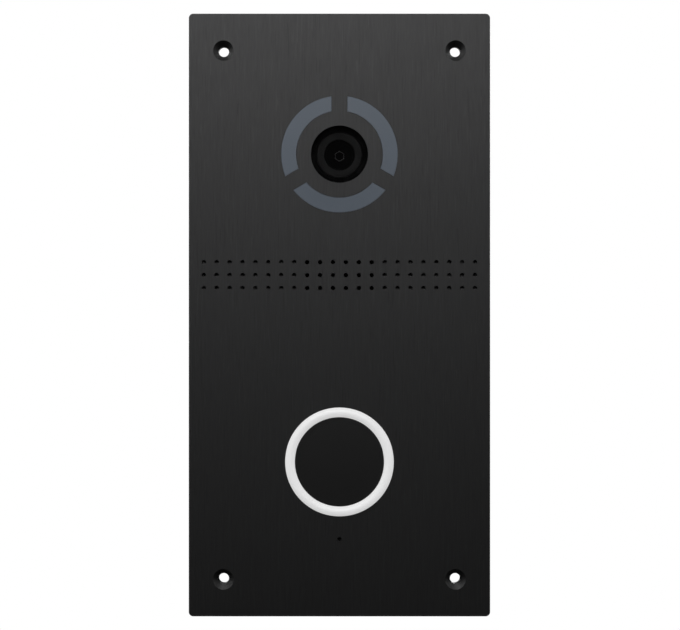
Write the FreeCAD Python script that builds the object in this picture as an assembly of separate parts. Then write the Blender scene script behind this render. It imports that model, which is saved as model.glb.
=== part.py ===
"""Flush-mounted video doorbell.

A brushed metal face plate carries a camera, an illuminator, a speaker, a microphone and a sprung call button
in a light ring. A sealed housing behind it holds the electronics.

Millimetres. X is to the right as seen from the street, Z is up and Y points into the wall. The origin is the
middle of the face plate's back, the plane that the four wall screws pull against the wall box. Each sub-part
is one STEP file.
"""

import FreeCAD
import Part

import math
import os

V = FreeCAD.Vector
INTO_WALL = V(0, 1, 0)

# ---- face plate ----
plate_width = 120.0
plate_height = 240.0
plate_thickness = 4.0
plate_corner_radius = 1.8
plate_edge_round = 0.4

# ---- wall screws, M4 countersunk ----
wall_hole_inset_x = 13.8
wall_hole_inset_z = 14.8
wall_hole_radius = 2.05
wall_cone_radius = 4.1

# ---- heights of the modules on the plate ----
camera_drop = 56.0  # below the plate's top edge
speaker_below_camera = 48.1
microphone_rise = 30.8  # above the plate's bottom edge
ring_above_microphone = 9.1  # from the microphone to the ring's edge

# ---- general clearances ----
slip = 0.1  # a part that drops into a hole
running = 0.05  # a part that slides in a hole
screw_slip = 0.05
screw_pass = 0.15  # a screw through a hole in a board or an ear
overrun = 1.0  # how far a cut or a joined piece reaches past a face

# ---- camera opening and window ----
camera_opening_radius = 11.4
camera_lip = 0.8
window_rim = 1.5  # how far the window reaches behind the plate
window_thickness = 1.5

# ---- illuminator ----
pad_inner_radius = 17.3
pad_outer_radius = 23.2
pad_gap = 6.4
pad_count = 3
pad_flange = 2.9  # beyond the pads
pad_flange_thickness = 1.5
reflector_depth = 4.0
lamp_radius = 2.5
lamp_barrel = 1.3
lamp_spread = 20.0  # degrees each side of a pad's middle
light_sensor_radius = 1.5
lamp_well = 1.0  # wider than the lamp at the reflector's front
lamp_nose_inset = 0.3
lamp_tab_reach = 7.0  # the lamp board's tab, beyond the flange
lamp_tab_half = 4.5
board_thickness = 1.2

# ---- sound holes ----
sound_columns = 22
sound_rows = 3
sound_open_columns = 6
sound_pitch = 5.14
sound_hole_radius = 0.87
sound_blind_depth = 1.6
drill_tip = 0.2

# ---- call button ----
ring_outer_radius = 21.6
ring_width = 3.75
ring_crown = 1.3
ring_flange = 2.3  # beyond the ring
ring_flange_thickness = 1.5
ring_foot = 1.7
cap_clearance = 0.1
cap_front_thickness = 2.5
cap_skirt = 1.8
cap_lip = 1.05
cap_lip_thickness = 0.95
call_travel = 0.6
stem_radius = 3.0
stem_flange_radius = 5.5
stem_flange_thickness = 1.2
pot_wall = 2.0
pot_depth = 6.6
pot_floor = 1.6
pot_guide_wall = 1.9
pot_guide_length = 5.0
pot_ear_reach = 5.5
pot_ear_step = 2.0  # the ear's front, before the pot's floor
spring_wire = 0.7
spring_gap = 1.7  # from the stem's flange to the middle of the wire
spring_half_turns = 11
oring_section = 0.46
oring_bite = 0.03  # how far the O-ring is squeezed
oring_play = 0.06
ring_header_beyond = 3.0  # from the light ring's flange to its pins
ring_lamp_count = 12
ring_lamp_height = 1.3
ring_lamp_half = (1.6, 1.4)
switch_half = 3.0
switch_corner = 0.4
switch_plunger_radius = 1.7
switch_plunger_length = 1.4
switch_height = 3.2

# ---- microphone ----
microphone_radius = 2.0
microphone_length = 1.8
boot_radius = 3.9
boot_length = 6.0
boot_nose_radius = 3.1
boot_nose = 2.0
boot_flange = 0.8
boot_pocket = 1.2  # deeper than the microphone is long
membrane_thickness = 0.2

# ---- speaker ----
surround_width = 2.4
speaker_rim = 2.6
cone_radius = 13.0
coil_radius = 5.15
coil_wall = 0.3
magnet_radius = 9.0
magnet_length = 4.5
magnet_plate = (1.0, 1.2)  # top plate and yoke
magnet_overhang = 0.4
magnet_gap = 0.4
basket_wall = 0.7
basket_window_half = 3.5
speaker_depth = 10.5
clamp_post_gap = 2.3
clamp_thickness = 0.8
clamp_width = 9.0
cone_wall = 0.4
cone_lip = 0.9
cone_depth = 2.7
sound_surround = 2.2  # beyond the outermost open holes

# ---- housing ----
housing_inset_x = 10.0
housing_inset_z = 22.0
housing_corner_radius = 6.0
front_gasket_thickness = 1.0
front_gasket_width = 4.0
carrier_thickness = 2.0
ring_opening_gap = 0.5
sound_wall = 1.5
sound_wall_front = 0.3
mesh_lap = 1.2
mesh_thickness = 0.3
carrier_rib_height = 6.0
carrier_rib_wall = 1.6
rib_clearance = 0.3
cover_seal_thickness = 0.8
cover_wall = 2.2
cover_floor = 2.4
housing_depth = 34.0
cover_edge_round = 1.2
post_radius = 3.2
post_inset = 6.5  # from the housing's outline to a cover post's middle
label_width = 62.0
label_height = 34.0
label_thickness = 0.15
label_recess = 0.4
label_gap = 0.5
label_corner = 1.0
label_above_speaker = 4.0

# ---- studs on the plate ----
stud_radius = 1.5
stud_length = 8.0
nut_across_flats = 5.5
nut_thickness = 2.4
stud_foot = 0.6
stud_clearance = 0.7
stud_below_post = 23.5
stud_inside_post = 1.5
stud_pad_width = 2.1

# ---- wall gasket ----
wall_gasket_thickness = 2.0
wall_gasket_width = 4.0
wall_gasket_inset = 1.5

# ---- screws: shank radius, shank length, head radius, head height ----
cover_screw = (1.5, 12.0, 2.8, 2.0)
module_screw = (1.25, 6.0, 2.2, 1.5)
holder_screw = (1.0, 4.5, 1.8, 1.2)
cover_counterbore = 2.6
cover_boss_radius = 5.0
cover_boss_height = 2.2
cover_screw_pass = 0.2
cover_head_pass = 0.4
pilot_run_out = 1.0

# ---- camera module ----
lens_head_radius = 9.1
lens_head_length = 6.9
lens_thread_radius = 6.0
lens_length = 16.1
lens_glass_radius = 6.1
lens_recess = 0.2
stop_radius = 1.9
stop_ring = 0.9  # beyond the stop's radius
stop_lip = 0.35
stop_thickness = 0.6
stop_depth = 3.2  # behind the lens's front
glass_depth = 2.2
glass_dome = 1.0
rear_glass_radius = 4.2
rear_glass_step = 1.3  # from the stop to the next glass
baffle_gap = 0.3  # from the lens's head
lock_ring_width = 2.0
lock_ring_thickness = 1.5
holder_width = 28.0
holder_height = 20.0
holder_front = 13.0  # behind the plate's back
camera_board_front = 22.4
camera_board_size = 38.0
camera_board_thickness = 1.6
camera_hole_inset = 2.7
bracket_thickness = 2.0
bracket_overhang = 1.5
bracket_ear_reach = 4.0
bracket_gap = 1.3  # between the lamp board and the bracket
bracket_hub = (25.0, 23.0)
bracket_post_radius = 2.6
sensor_size = (9.0, 1.1, 8.0)
sensor_rim = 1.0
sensor_glass_drop = 0.2
holder_screw_x = 11.5
holder_screw_drop = 7.0
holder_screw_pass = 1.2
holder_bore = 4.6
holder_sensor_half = (5.2, 4.8)
holder_tail_half = 9.0
holder_tail_thickness = 1.8
pivot_radius = 0.8

# ---- day and night filter ----
filter_travel = 7.0
filter_glass = 6.6
filter_glass_thickness = 0.5
filter_ledge = 0.4
filter_tab_half = 2.0
filter_tab_top = 0.9
slide_thickness = 1.2
slide_height = 9.0
slide_length = 16.6
slide_front = 16.4
rotor_arm = 9.0  # pivot to pin
rotor_pivot_height = 15.0  # above the lens axis
rotor_magnet_radius = 2.2
rotor_pin_radius = 0.6
rotor_slot_clearance = 0.15
rotor_arm_half = 0.8
rotor_arm_gap = (1.3, 0.3)  # the arm's front and back, before the slide
rotor_magnet_length = 3.6
coil_back = 8.6

# ---- main board and what it carries ----
main_board_front = 18.0
main_board_thickness = 1.6
main_board_side_gap = 12.0  # from the housing's outline
main_board_bottom_gap = 6.0
main_board_top_gap = 9.0  # below the camera board
main_post_inset = 4.2
bay_depth = 19.0
bay_half_width = 33.0
bay_rise = 5.5  # the bay's lower edge above the housing's outline
socket_width = 15.9
socket_height = 15.0
terminal_ways = 5
terminal_pitch = 3.81
terminal_blocks_count = 2
terminal_height = 12.0
connector_recess = 0.6  # below the housing's back
connector_gap = 1.5
socket_mouth = (5.9, 4.0, 11.0)  # half width, low and high edges
socket_key = (3.2, 2.2, 4.5)
socket_latch = (1.7, 1.0, 3.0)
socket_mouth_depth = 11.5
terminal_end = 0.4  # beyond the outermost way
terminal_entry = (1.25, 3.4, 9.0)  # radius, height and depth of a wire's hole
terminal_release = (1.1, 7.2, 10.4, 4.0)  # half width, low and high edges, depth

# ---- connectors inside ----
ribbon_width = 12.0
ribbon_thickness = 0.3
ribbon_end_height = 1.8
ribbon_end_depth = 4.0
plug_height = 4.5
plug_half_width = 3.0
plug_half_height = 2.0
tab_plug_height = 3.5
header_pitch = 2.54
header_count = 4
header_half_width = 5.2
header_half_height = 1.25
header_pin = 0.3
header_rise = 2.0
header_socket_depth = 7.0

# ---- places worked out from the sizes above ----
front = -plate_thickness
hole_x = plate_width / 2 - wall_hole_inset_x
hole_z = plate_height / 2 - wall_hole_inset_z
camera_z = plate_height / 2 - camera_drop
speaker_z = camera_z - speaker_below_camera
microphone_z = microphone_rise - plate_height / 2
button_z = microphone_z + ring_above_microphone + ring_outer_radius

housing_half_width = plate_width / 2 - housing_inset_x
housing_half_height = plate_height / 2 - housing_inset_z
carrier_front = front_gasket_thickness
carrier_back = carrier_front + carrier_thickness
cover_front = carrier_back + cover_seal_thickness
cover_floor_inside = housing_depth - cover_floor
post_x = housing_half_width - post_inset
post_z = housing_half_height - post_inset - 1.0
cover_post_places = [(sx * post_x, z) for sx in (-1, 1) for z in (-post_z, 0.0, post_z)]
stud_top = post_z - stud_below_post
stud_x = post_x - stud_inside_post
stud_places = [
    (sx * stud_x, sz * share * stud_top) for sx in (-1, 1) for sz in (-1, 1) for share in (1.0, 1 / 3)
]

window_radius = camera_opening_radius + window_rim
window_front = front + camera_lip
window_back = window_front + window_thickness
pad_flange_radius = pad_outer_radius + pad_flange
reflector_inner_radius = window_radius + 0.4
reflector_front = pad_flange_thickness
baffle_outer_radius = window_radius - 0.2
baffle_inner_radius = lens_head_radius + baffle_gap
bracket_radius = pad_flange_radius + bracket_overhang
bracket_ear_radius = pad_flange_radius + bracket_ear_reach
lock_ring_radius = lens_thread_radius + lock_ring_width
illuminator_board_front = reflector_front + reflector_depth
illuminator_board_back = illuminator_board_front + board_thickness
bracket_front = illuminator_board_back + bracket_gap
bracket_back = bracket_front + bracket_thickness
illuminator_opening = pad_flange_radius + 0.3
pad_angles = [30.0 + 360.0 / pad_count * i for i in range(pad_count)]
lamp_ring = (pad_inner_radius + pad_outer_radius) / 2
illuminator_tab_end = pad_flange_radius + lamp_tab_reach
illuminator_tab_plug = (pad_flange_radius + 4.0, camera_z)
bracket_ear_angles = [45.0 + 90.0 * i for i in range(4)]
camera_hole = camera_board_size / 2 - camera_hole_inset
camera_board_back = camera_board_front + camera_board_thickness
camera_hole_places = [(sx * camera_hole, camera_z + sz * camera_hole) for sx in (-1, 1) for sz in (-1, 1)]
lens_front = window_back + 0.3
lens_back = lens_front + lens_length
lens_seat_radius = lens_glass_radius + 0.05
stop_front = lens_front + stop_depth
glass_back = lens_front + glass_depth
slide_back = slide_front + slide_thickness
slide_rest_x = -filter_travel / 2

ring_inner_radius = ring_outer_radius - ring_width
ring_flange_radius = ring_outer_radius + ring_flange
spring_mean_radius = stem_flange_radius + spring_gap
ring_back = ring_flange_thickness
ring_board_front = ring_back + ring_foot
ring_board_back = ring_board_front + board_thickness
cap_radius = ring_inner_radius - cap_clearance
cap_lip_radius = cap_radius + cap_lip
cap_back = ring_back + running + cap_lip_thickness
pot_front = ring_board_back
pot_back = pot_front + pot_depth + pot_floor
pot_radius = ring_flange_radius
pot_ear_angles = [45.0 + 90.0 * i for i in range(4)]
pot_ear_radius = pot_radius + pot_ear_reach
pot_ear_front = pot_front + pot_depth - pot_ear_step
ring_header_z = ring_flange_radius + ring_header_beyond
header_pins = [header_pitch * (i - (header_count - 1) / 2) for i in range(header_count)]
cap_underside = front + cap_front_thickness
switch_front = main_board_front - switch_height
stem_end = switch_front - switch_plunger_length
oring_middle = stem_radius - oring_section + oring_bite
oring_y = pot_back - pot_guide_length / 2
ring_board_inner = cap_lip_radius + 0.4
ring_lamp_place = (ring_board_inner + ring_flange_radius - 1.0) / 2

speaker_radius = cone_radius + surround_width + speaker_rim
speaker_gasket_front = carrier_back
speaker_front = speaker_gasket_front + 1.0
speaker_back = speaker_front + speaker_depth
sound_opening_x = (sound_open_columns - 1) * sound_pitch / 2 + sound_surround
sound_opening_z = (sound_rows - 1) * sound_pitch / 2 + sound_surround
cone_front = speaker_front + cone_wall
cone_apex = cone_front + cone_depth
cone_rim = cone_radius - cone_lip
clamp_post_x = speaker_radius + post_radius + clamp_post_gap

main_board_back = main_board_front + main_board_thickness
main_board_half_width = housing_half_width - main_board_side_gap
main_board_bottom = main_board_bottom_gap - housing_half_height
main_board_top = camera_z - camera_board_size / 2 - main_board_top_gap
main_post_x = main_board_half_width - main_post_inset
main_post_places = [
    (sx * main_post_x, z)
    for sx in (-1, 1)
    for z in (
        main_board_bottom + main_post_inset,
        (main_board_bottom + main_board_top) / 2,
        main_board_top - main_post_inset,
    )
]
connector_back = housing_depth - connector_recess
bay_bottom = bay_rise - housing_half_height
bay_top = bay_bottom + bay_depth
bay_middle = (bay_bottom + bay_top) / 2
label_seat = housing_depth - label_recess
label_z = speaker_z + label_above_speaker
microphone_front = boot_length - microphone_length - boot_pocket
speaker_plug = (24.0, speaker_z - 14.0)
microphone_plug = (12.0, microphone_z + 2.5)
illuminator_plug = (26.0, main_board_top - 11.0)


def cylinder(radius, y0, y1, x=0.0, z=0.0):
    """A round bar along Y."""
    return Part.makeCylinder(radius, y1 - y0, V(x, y0, z), INTO_WALL)


def tube(outer, inner, y0, y1, x=0.0, z=0.0):
    """A round tube or washer along Y."""
    return cylinder(outer, y0, y1, x, z).cut(cylinder(inner, y0 - overrun, y1 + overrun, x, z))


def cone(radius0, radius1, y0, y1, x=0.0, z=0.0):
    """A taper along Y."""
    return Part.makeCone(radius0, radius1, y1 - y0, V(x, y0, z), INTO_WALL)


def block(x0, x1, y0, y1, z0, z1):
    """A square-edged block between two corners."""
    return Part.makeBox(x1 - x0, y1 - y0, z1 - z0, V(x0, y0, z0))


def turned(profile, x=0.0, z=0.0):
    """A solid of revolution about the Y line through x, z. The profile is a list of (radius, y) points."""
    points = [V(x + r, y, z) for r, y in profile]
    face = Part.Face(Part.makePolygon(points + [points[0]]))
    return face.revolve(V(x, 0, z), INTO_WALL, 360)


def slab(half_x, half_z, corner, y0, y1, x=0.0, z=0.0):
    """A rounded rectangle pushed along Y."""
    body = block(x - half_x, x + half_x, y0, y1, z - half_z, z + half_z)
    uprights = [e for e in body.Edges if abs(e.Vertexes[0].Y - e.Vertexes[-1].Y) > 1e-6]
    return body.makeFillet(corner, uprights)


def frame(half_x, half_z, corner, width, y0, y1):
    """A rounded rectangular frame: a slab with its middle taken out."""
    inner = slab(half_x - width, half_z - width, max(corner - width, 0.5), y0 - overrun, y1 + overrun)
    return slab(half_x, half_z, corner, y0, y1).cut(inner)


def group(shapes):
    """Separate solids in one node."""
    return Part.makeCompound([s for shape in shapes for s in shape.Solids])


def fuse(shapes):
    return shapes[0].multiFuse(shapes[1:]).removeSplitter()


def polar(radius, degrees, x=0.0, z=0.0):
    return x + radius * math.cos(math.radians(degrees)), z + radius * math.sin(math.radians(degrees))


def hexagon(across_flats, y0, y1, x, z):
    reach = across_flats / math.sqrt(3)
    corners = [polar(reach, 60 * i + 30, x, z) for i in range(7)]
    outline = Part.makePolygon([V(cx, y0, cz) for cx, cz in corners])
    return Part.Face(outline).extrude(V(0, y1 - y0, 0))


def screw(size, head_seat, x, z):
    """A pan-head screw that points towards the street, with a cross recess. Its head rests at head_seat."""
    shank, length, head, height = size
    body = cylinder(shank, head_seat - length, head_seat, x, z)
    top = cylinder(head, head_seat, head_seat + height, x, z)
    top = top.makeFillet(
        height * 0.45, [e for e in top.Edges if abs(e.BoundBox.YMin - head_seat - height) < 1e-6]
    )
    arm, depth = head * 0.55, height * 0.6
    y0, y1 = head_seat + height - depth, head_seat + height + 1
    cross = block(x - arm, x + arm, y0, y1, z - arm / 4, z + arm / 4)
    cross = cross.fuse(block(x - arm / 4, x + arm / 4, y0, y1, z - arm, z + arm))
    return body.fuse(top).cut(cross)


# ---- face plate and what is welded or stuck to it ----


def arc_pad(y0, y1, slack=0.0):
    """The three arc pads, grown by slack all round: a broken ring with parallel-sided gaps."""
    ring = tube(pad_outer_radius + slack, pad_inner_radius - slack, y0, y1, 0, camera_z)
    gaps = []
    for angle in pad_angles:
        gap = block(
            0, pad_outer_radius + 5, y0 - overrun, y1 + overrun, -pad_gap / 2 + slack, pad_gap / 2 - slack
        )
        gap.rotate(V(0, 0, 0), V(0, -1, 0), angle + 180.0 / pad_count)
        gap.translate(V(0, 0, camera_z))
        gaps.append(gap)
    return ring.cut(gaps)


def sound_places(open_ones):
    first_open = (sound_columns - sound_open_columns) // 2
    return [
        ((i - (sound_columns - 1) / 2) * sound_pitch, speaker_z + (j - (sound_rows - 1) / 2) * sound_pitch)
        for i in range(sound_columns)
        for j in range(sound_rows)
        if (first_open <= i < first_open + sound_open_columns) == open_ones
    ]


def face_plate():
    plate = slab(plate_width / 2, plate_height / 2, plate_corner_radius, front, 0)
    rim = [
        e
        for e in plate.Edges if abs(e.BoundBox.YMin - front) < 1e-6 and abs(e.BoundBox.YMax - front) < 1e-6
    ]
    plate = plate.makeFillet(plate_edge_round, rim)
    cone_depth = wall_cone_radius - wall_hole_radius
    cuts = []
    for x in (-hole_x, hole_x):
        for z in (-hole_z, hole_z):
            cuts.append(cylinder(wall_hole_radius, front - overrun, 1, x, z))
            cuts.append(cone(wall_cone_radius, wall_hole_radius, front, front + cone_depth, x, z))
    cuts.append(cylinder(camera_opening_radius, front - overrun, 1, 0, camera_z))
    cuts.append(cylinder(window_radius + slip, window_front, 1, 0, camera_z))
    cuts.append(arc_pad(front - overrun, 1, slip))
    for x, z in sound_places(True):
        cuts.append(cylinder(sound_hole_radius, front - overrun, 1, x, z))
    for x, z in sound_places(False):
        floor = front + sound_blind_depth
        cuts.append(cylinder(sound_hole_radius, front - overrun, floor, x, z))
        cuts.append(cone(sound_hole_radius, 0, floor, floor + drill_tip, x, z))
    cuts.append(cylinder(ring_outer_radius + slip, front - overrun, 1, 0, button_z))
    cuts.append(cylinder(sound_hole_radius, front - overrun, 1, 0, microphone_z))
    cuts.append(cylinder(boot_nose_radius + slip, -boot_nose - membrane_thickness, 1, 0, microphone_z))
    return plate.cut(cuts)


def weld_studs():
    studs = []
    for x, z in stud_places:
        foot = cylinder(stud_radius + stud_foot, 0, stud_foot, x, z)
        studs.append(cylinder(stud_radius, 0, stud_length, x, z).fuse(foot))
    return group(studs)


def stud_nuts():
    nuts = []
    for x, z in stud_places:
        nut = hexagon(nut_across_flats, carrier_back, carrier_back + nut_thickness, x, z)
        nuts.append(
            nut.cut(
                cylinder(
                    stud_radius + running,
                    carrier_back - overrun,
                    carrier_back + nut_thickness + overrun,
                    x,
                    z,
                ),
            ),
        )
    return group(nuts)


def wall_gasket():
    half_x = plate_width / 2 - wall_gasket_inset
    half_z = plate_height / 2 - wall_gasket_inset
    return frame(half_x, half_z, plate_corner_radius, wall_gasket_width, 0, wall_gasket_thickness)


# ---- housing ----


def front_gasket():
    return frame(
        housing_half_width,
        housing_half_height,
        housing_corner_radius,
        front_gasket_width,
        0,
        front_gasket_thickness,
    )


def carrier_frame():
    base = slab(housing_half_width, housing_half_height, housing_corner_radius, carrier_front, carrier_back)
    rib_out = cover_wall + rib_clearance
    rib = frame(
        housing_half_width - rib_out,
        housing_half_height - rib_out,
        housing_corner_radius - rib_out,
        carrier_rib_wall,
        carrier_back,
        carrier_back + carrier_rib_height,
    )
    adds = [base, rib]
    cover_post_back = cover_floor_inside - cover_boss_height
    adds += [cylinder(post_radius, carrier_front, cover_post_back, x, z) for x, z in cover_post_places]
    adds += [cylinder(post_radius, carrier_front, main_board_front, x, z) for x, z in main_post_places]
    adds += [
        cylinder(post_radius, carrier_front, bracket_front, *bracket_ear(a)) for a in bracket_ear_angles
    ]
    adds += [cylinder(post_radius, carrier_front, pot_ear_front, *pot_ear(a)) for a in pot_ear_angles]
    adds += [
        cylinder(post_radius, carrier_front, speaker_back, sx * clamp_post_x, speaker_z) for sx in (-1, 1)
    ]
    adds += [
        cylinder(stud_radius + stud_pad_width, 0, carrier_front + overrun, x, z) for x, z in stud_places
    ]
    wall_x, wall_z = sound_opening_x + sound_wall, sound_opening_z + sound_wall
    adds.append(slab(wall_x, wall_z, 2.0, sound_wall_front, carrier_back, 0, speaker_z))
    body = fuse(adds)
    shank, length = module_screw[0] + screw_slip, module_screw[1]
    cuts = [
        cylinder(illuminator_opening, -overrun, carrier_back, 0, camera_z),
        cylinder(ring_flange_radius + ring_opening_gap, -overrun, carrier_back, 0, button_z),
        slab(sound_opening_x, sound_opening_z, 1.0, -overrun, carrier_back + overrun, 0, speaker_z),
        cylinder(boot_radius + slip, -overrun, carrier_back + overrun, 0, microphone_z),
    ]
    cuts += [
        cylinder(stud_radius + stud_clearance, -overrun, carrier_back + overrun, x, z)
        for x, z in stud_places
    ]
    pilot = cover_screw[1] - (housing_depth - cover_counterbore - cover_post_back) + pilot_run_out
    for x, z in cover_post_places:
        cuts.append(
            cylinder(cover_screw[0] + screw_slip, cover_post_back - pilot, cover_post_back + overrun, x, z),
        )
    for x, z in main_post_places:
        cuts.append(cylinder(shank, main_board_front - length, main_board_front + overrun, x, z))
    for a in bracket_ear_angles:
        cuts.append(cylinder(shank, bracket_front - length, bracket_front + overrun, *bracket_ear(a)))
    for a in pot_ear_angles:
        cuts.append(cylinder(shank, pot_ear_front - length, pot_ear_front + overrun, *pot_ear(a)))
    for sx in (-1, 1):
        cuts.append(
            cylinder(shank, speaker_back - length, speaker_back + overrun, sx * clamp_post_x, speaker_z),
        )
    return body.cut(cuts)


def rear_cover():
    outer = slab(housing_half_width, housing_half_height, housing_corner_radius, cover_front, housing_depth)
    rim = [e for e in outer.Edges if abs(e.BoundBox.YMin - housing_depth) < 1e-6]
    outer = outer.makeFillet(cover_edge_round, rim)
    inner = slab(
        housing_half_width - cover_wall,
        housing_half_height - cover_wall,
        housing_corner_radius - cover_wall,
        cover_front - overrun,
        cover_floor_inside,
    )
    bosses = [
        cylinder(cover_boss_radius, cover_floor_inside - cover_boss_height, cover_floor_inside + 0.5, x, z)
        for x, z in cover_post_places
    ]
    body = fuse([outer.cut(inner)] + bosses)
    seat = housing_depth - cover_counterbore
    cuts = [
        block(
            -bay_half_width,
            bay_half_width,
            cover_floor_inside - overrun,
            housing_depth + overrun,
            bay_bottom,
            bay_top,
        ),
    ]
    for x, z in cover_post_places:
        cuts.append(
            cylinder(
                cover_screw[0] + cover_screw_pass,
                cover_floor_inside - cover_boss_height - overrun,
                seat + overrun,
                x,
                z,
            ),
        )
        cuts.append(cylinder(cover_screw[2] + cover_head_pass, seat, housing_depth + overrun, x, z))
    cuts.append(
        slab(
            label_width / 2 + label_gap,
            label_height / 2 + label_gap,
            1.5,
            label_seat,
            housing_depth + overrun,
            0,
            label_z,
        )
    )
    return body.cut(cuts)


def rating_label():
    return slab(
        label_width / 2,
        label_height / 2,
        label_corner,
        label_seat,
        label_seat + label_thickness,
        0,
        label_z,
    )


def rear_cover_seal():
    return frame(
        housing_half_width,
        housing_half_height,
        housing_corner_radius,
        cover_wall,
        carrier_back,
        cover_front,
    )


def rear_cover_screws():
    seat = housing_depth - cover_counterbore
    return group([screw(cover_screw, seat, x, z) for x, z in cover_post_places])


# ---- camera ----


def bracket_ear(angle):
    return polar(bracket_ear_radius, angle, 0, camera_z)


def camera_window():
    return cylinder(window_radius, window_front, window_back, 0, camera_z)


def light_baffle():
    return tube(baffle_outer_radius, baffle_inner_radius, window_back, bracket_front, 0, camera_z)


def lens_barrel():
    """The lens's black body: a wide head and a thread, bored in steps for its glass and its stop."""
    head_back = lens_front + lens_head_length
    edge = 0.3
    profile = [
        (lens_seat_radius, lens_front),
        (lens_head_radius - edge, lens_front),
        (lens_head_radius, lens_front + edge),
        (lens_head_radius, head_back),
        (lens_thread_radius, head_back),
        (lens_thread_radius, lens_back),
        (rear_glass_radius, lens_back),
        (rear_glass_radius, stop_front + 1.2),
        (stop_radius + stop_ring, stop_front + 1.2),
        (stop_radius + stop_ring, stop_front),
        (lens_glass_radius - 0.9, glass_back),
        (lens_seat_radius, glass_back),
    ]
    return turned(profile, 0, camera_z)


def lens_stop():
    """The thin ring round the lens's stop, the bright circle deep in the lens."""
    y, back = stop_front, stop_front + stop_thickness
    profile = [
        (stop_radius - stop_lip, y),
        (stop_radius + 0.2, y - 0.25),
        (stop_radius + stop_ring, y),
        (stop_radius + stop_ring, back),
        (stop_radius - stop_lip, back),
    ]
    return turned(profile, 0, camera_z)


def domed_disc(radius, y_front, y_back, sag):
    """A glass element with a domed front: sag is how far the dome stands in front of its edge."""
    ball = (radius**2 + sag**2) / (2 * sag)
    edge = V(radius, y_front + sag, 0)
    middle = V(radius / 2, y_front + ball - math.sqrt(ball**2 - radius**2 / 4), 0)
    arc = Part.Arc(V(0, y_front, 0), middle, edge).toShape()
    sides = Part.makePolygon([edge, V(radius, y_back, 0), V(0, y_back, 0), V(0, y_front, 0)])
    body = Part.Face(Part.Wire([arc] + sides.Edges)).revolve(V(0, 0, 0), INTO_WALL, 360)
    body.translate(V(0, 0, camera_z))
    return body


def front_lens():
    return domed_disc(lens_seat_radius, lens_front + lens_recess, glass_back, glass_dome)


def inner_lenses():
    y = stop_front + rear_glass_step
    first = domed_disc(rear_glass_radius, y, y + glass_depth, 0.8)
    last = domed_disc(rear_glass_radius, lens_back - 3.0, lens_back - 0.4, 0.6)
    return group([first, last])


def lens_lock_ring():
    return tube(
        lock_ring_radius,
        lens_thread_radius + running,
        holder_front - lock_ring_thickness,
        holder_front,
        0,
        camera_z,
    )


def rotor_pocket_half():
    return filter_travel / 2 + 3.0


def lens_holder():
    """Holds the lens in front of the sensor, with a channel across it for the filter slide."""
    half_x, half_z = holder_width / 2, holder_height / 2
    body = block(-half_x, half_x, holder_front, camera_board_front, -half_z, half_z)
    tail_back = camera_board_front
    tail = block(
        -holder_tail_half,
        holder_tail_half,
        tail_back - holder_tail_thickness,
        tail_back,
        half_z - overrun,
        camera_board_size / 2 - 0.5,
    )
    pivot = cylinder(pivot_radius, slide_front - 0.9, tail_back - overrun, 0, rotor_pivot_height)
    body = fuse([body, tail, pivot])
    channel_x = (slide_length + filter_travel) / 2 + 0.4
    gap = rotor_slot_clearance
    sensor_x, sensor_z = holder_sensor_half
    cuts = [
        cylinder(lens_thread_radius + running, holder_front - overrun, lens_back + 0.3, 0, 0),
        cylinder(holder_bore, lens_back, slide_front, 0, 0),
        block(
            -channel_x,
            channel_x,
            slide_front - gap,
            slide_back + gap,
            -slide_height / 2 - gap,
            slide_height / 2 + gap,
        ),
        block(-sensor_x, sensor_x, slide_back, camera_board_front + overrun, -sensor_z, sensor_z),
        block(
            -rotor_pocket_half(),
            rotor_pocket_half(),
            holder_front - overrun,
            slide_back + gap,
            slide_height / 2 + gap,
            half_z + overrun,
        ),
    ]
    cuts += [
        cylinder(
            holder_screw[0] + screw_slip,
            camera_board_front - 5.0,
            camera_board_front + overrun,
            sx * holder_screw_x,
            -holder_screw_drop,
        ) for sx in (-1, 1)
    ]
    body = body.cut(cuts)
    body.translate(V(0, 0, camera_z))
    return body


def filter_slide():
    """The frame that carries the two filters, with a slotted tab for the rotor's pin, at its day end."""
    x, half_z = slide_rest_x, slide_height / 2
    slot_low = rotor_pivot_height - rotor_arm - rotor_pin_radius - 0.2
    slot_high = rotor_pivot_height - rotor_arm * math.cos(rotor_swing() / 2) + rotor_pin_radius + 0.2
    frame_body = block(x - slide_length / 2, x + slide_length / 2, slide_front, slide_back, -half_z, half_z)
    tab = block(
        x - filter_tab_half,
        x + filter_tab_half,
        slide_front,
        slide_back,
        half_z - overrun,
        slot_high + filter_tab_top,
    )
    body = fuse([frame_body, tab])
    slot = rotor_pin_radius + rotor_slot_clearance
    cuts = [block(x - slot, x + slot, slide_front - overrun, slide_back + overrun, slot_low, slot_high)]
    for dx in (-filter_travel / 2, filter_travel / 2):
        seat, light = filter_glass / 2 + running, filter_glass / 2 - filter_ledge
        cuts.append(
            block(
                x + dx - seat, x + dx + seat, slide_front + filter_ledge, slide_back + overrun, -seat, seat
            ),
        )
        cuts.append(block(x + dx - light, x + dx + light, slide_front - overrun, slide_back, -light, light))
    body = body.cut(cuts)
    body.translate(V(0, 0, camera_z))
    return body


def filter_pane(side):
    x, half = slide_rest_x + side * filter_travel / 2, filter_glass / 2
    y = slide_front + filter_ledge
    return block(x - half, x + half, y, y + filter_glass_thickness, camera_z - half, camera_z + half)


def filter_panes():
    """The clear night pane and, on the lens's axis at rest, the day pane that stops infrared."""
    return group([filter_pane(-1), filter_pane(1)])


def rotor_swing():
    """The rotor's whole swing in radians, which carries the slide over its travel."""
    return 2 * math.asin(filter_travel / 2 / rotor_arm)


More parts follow.
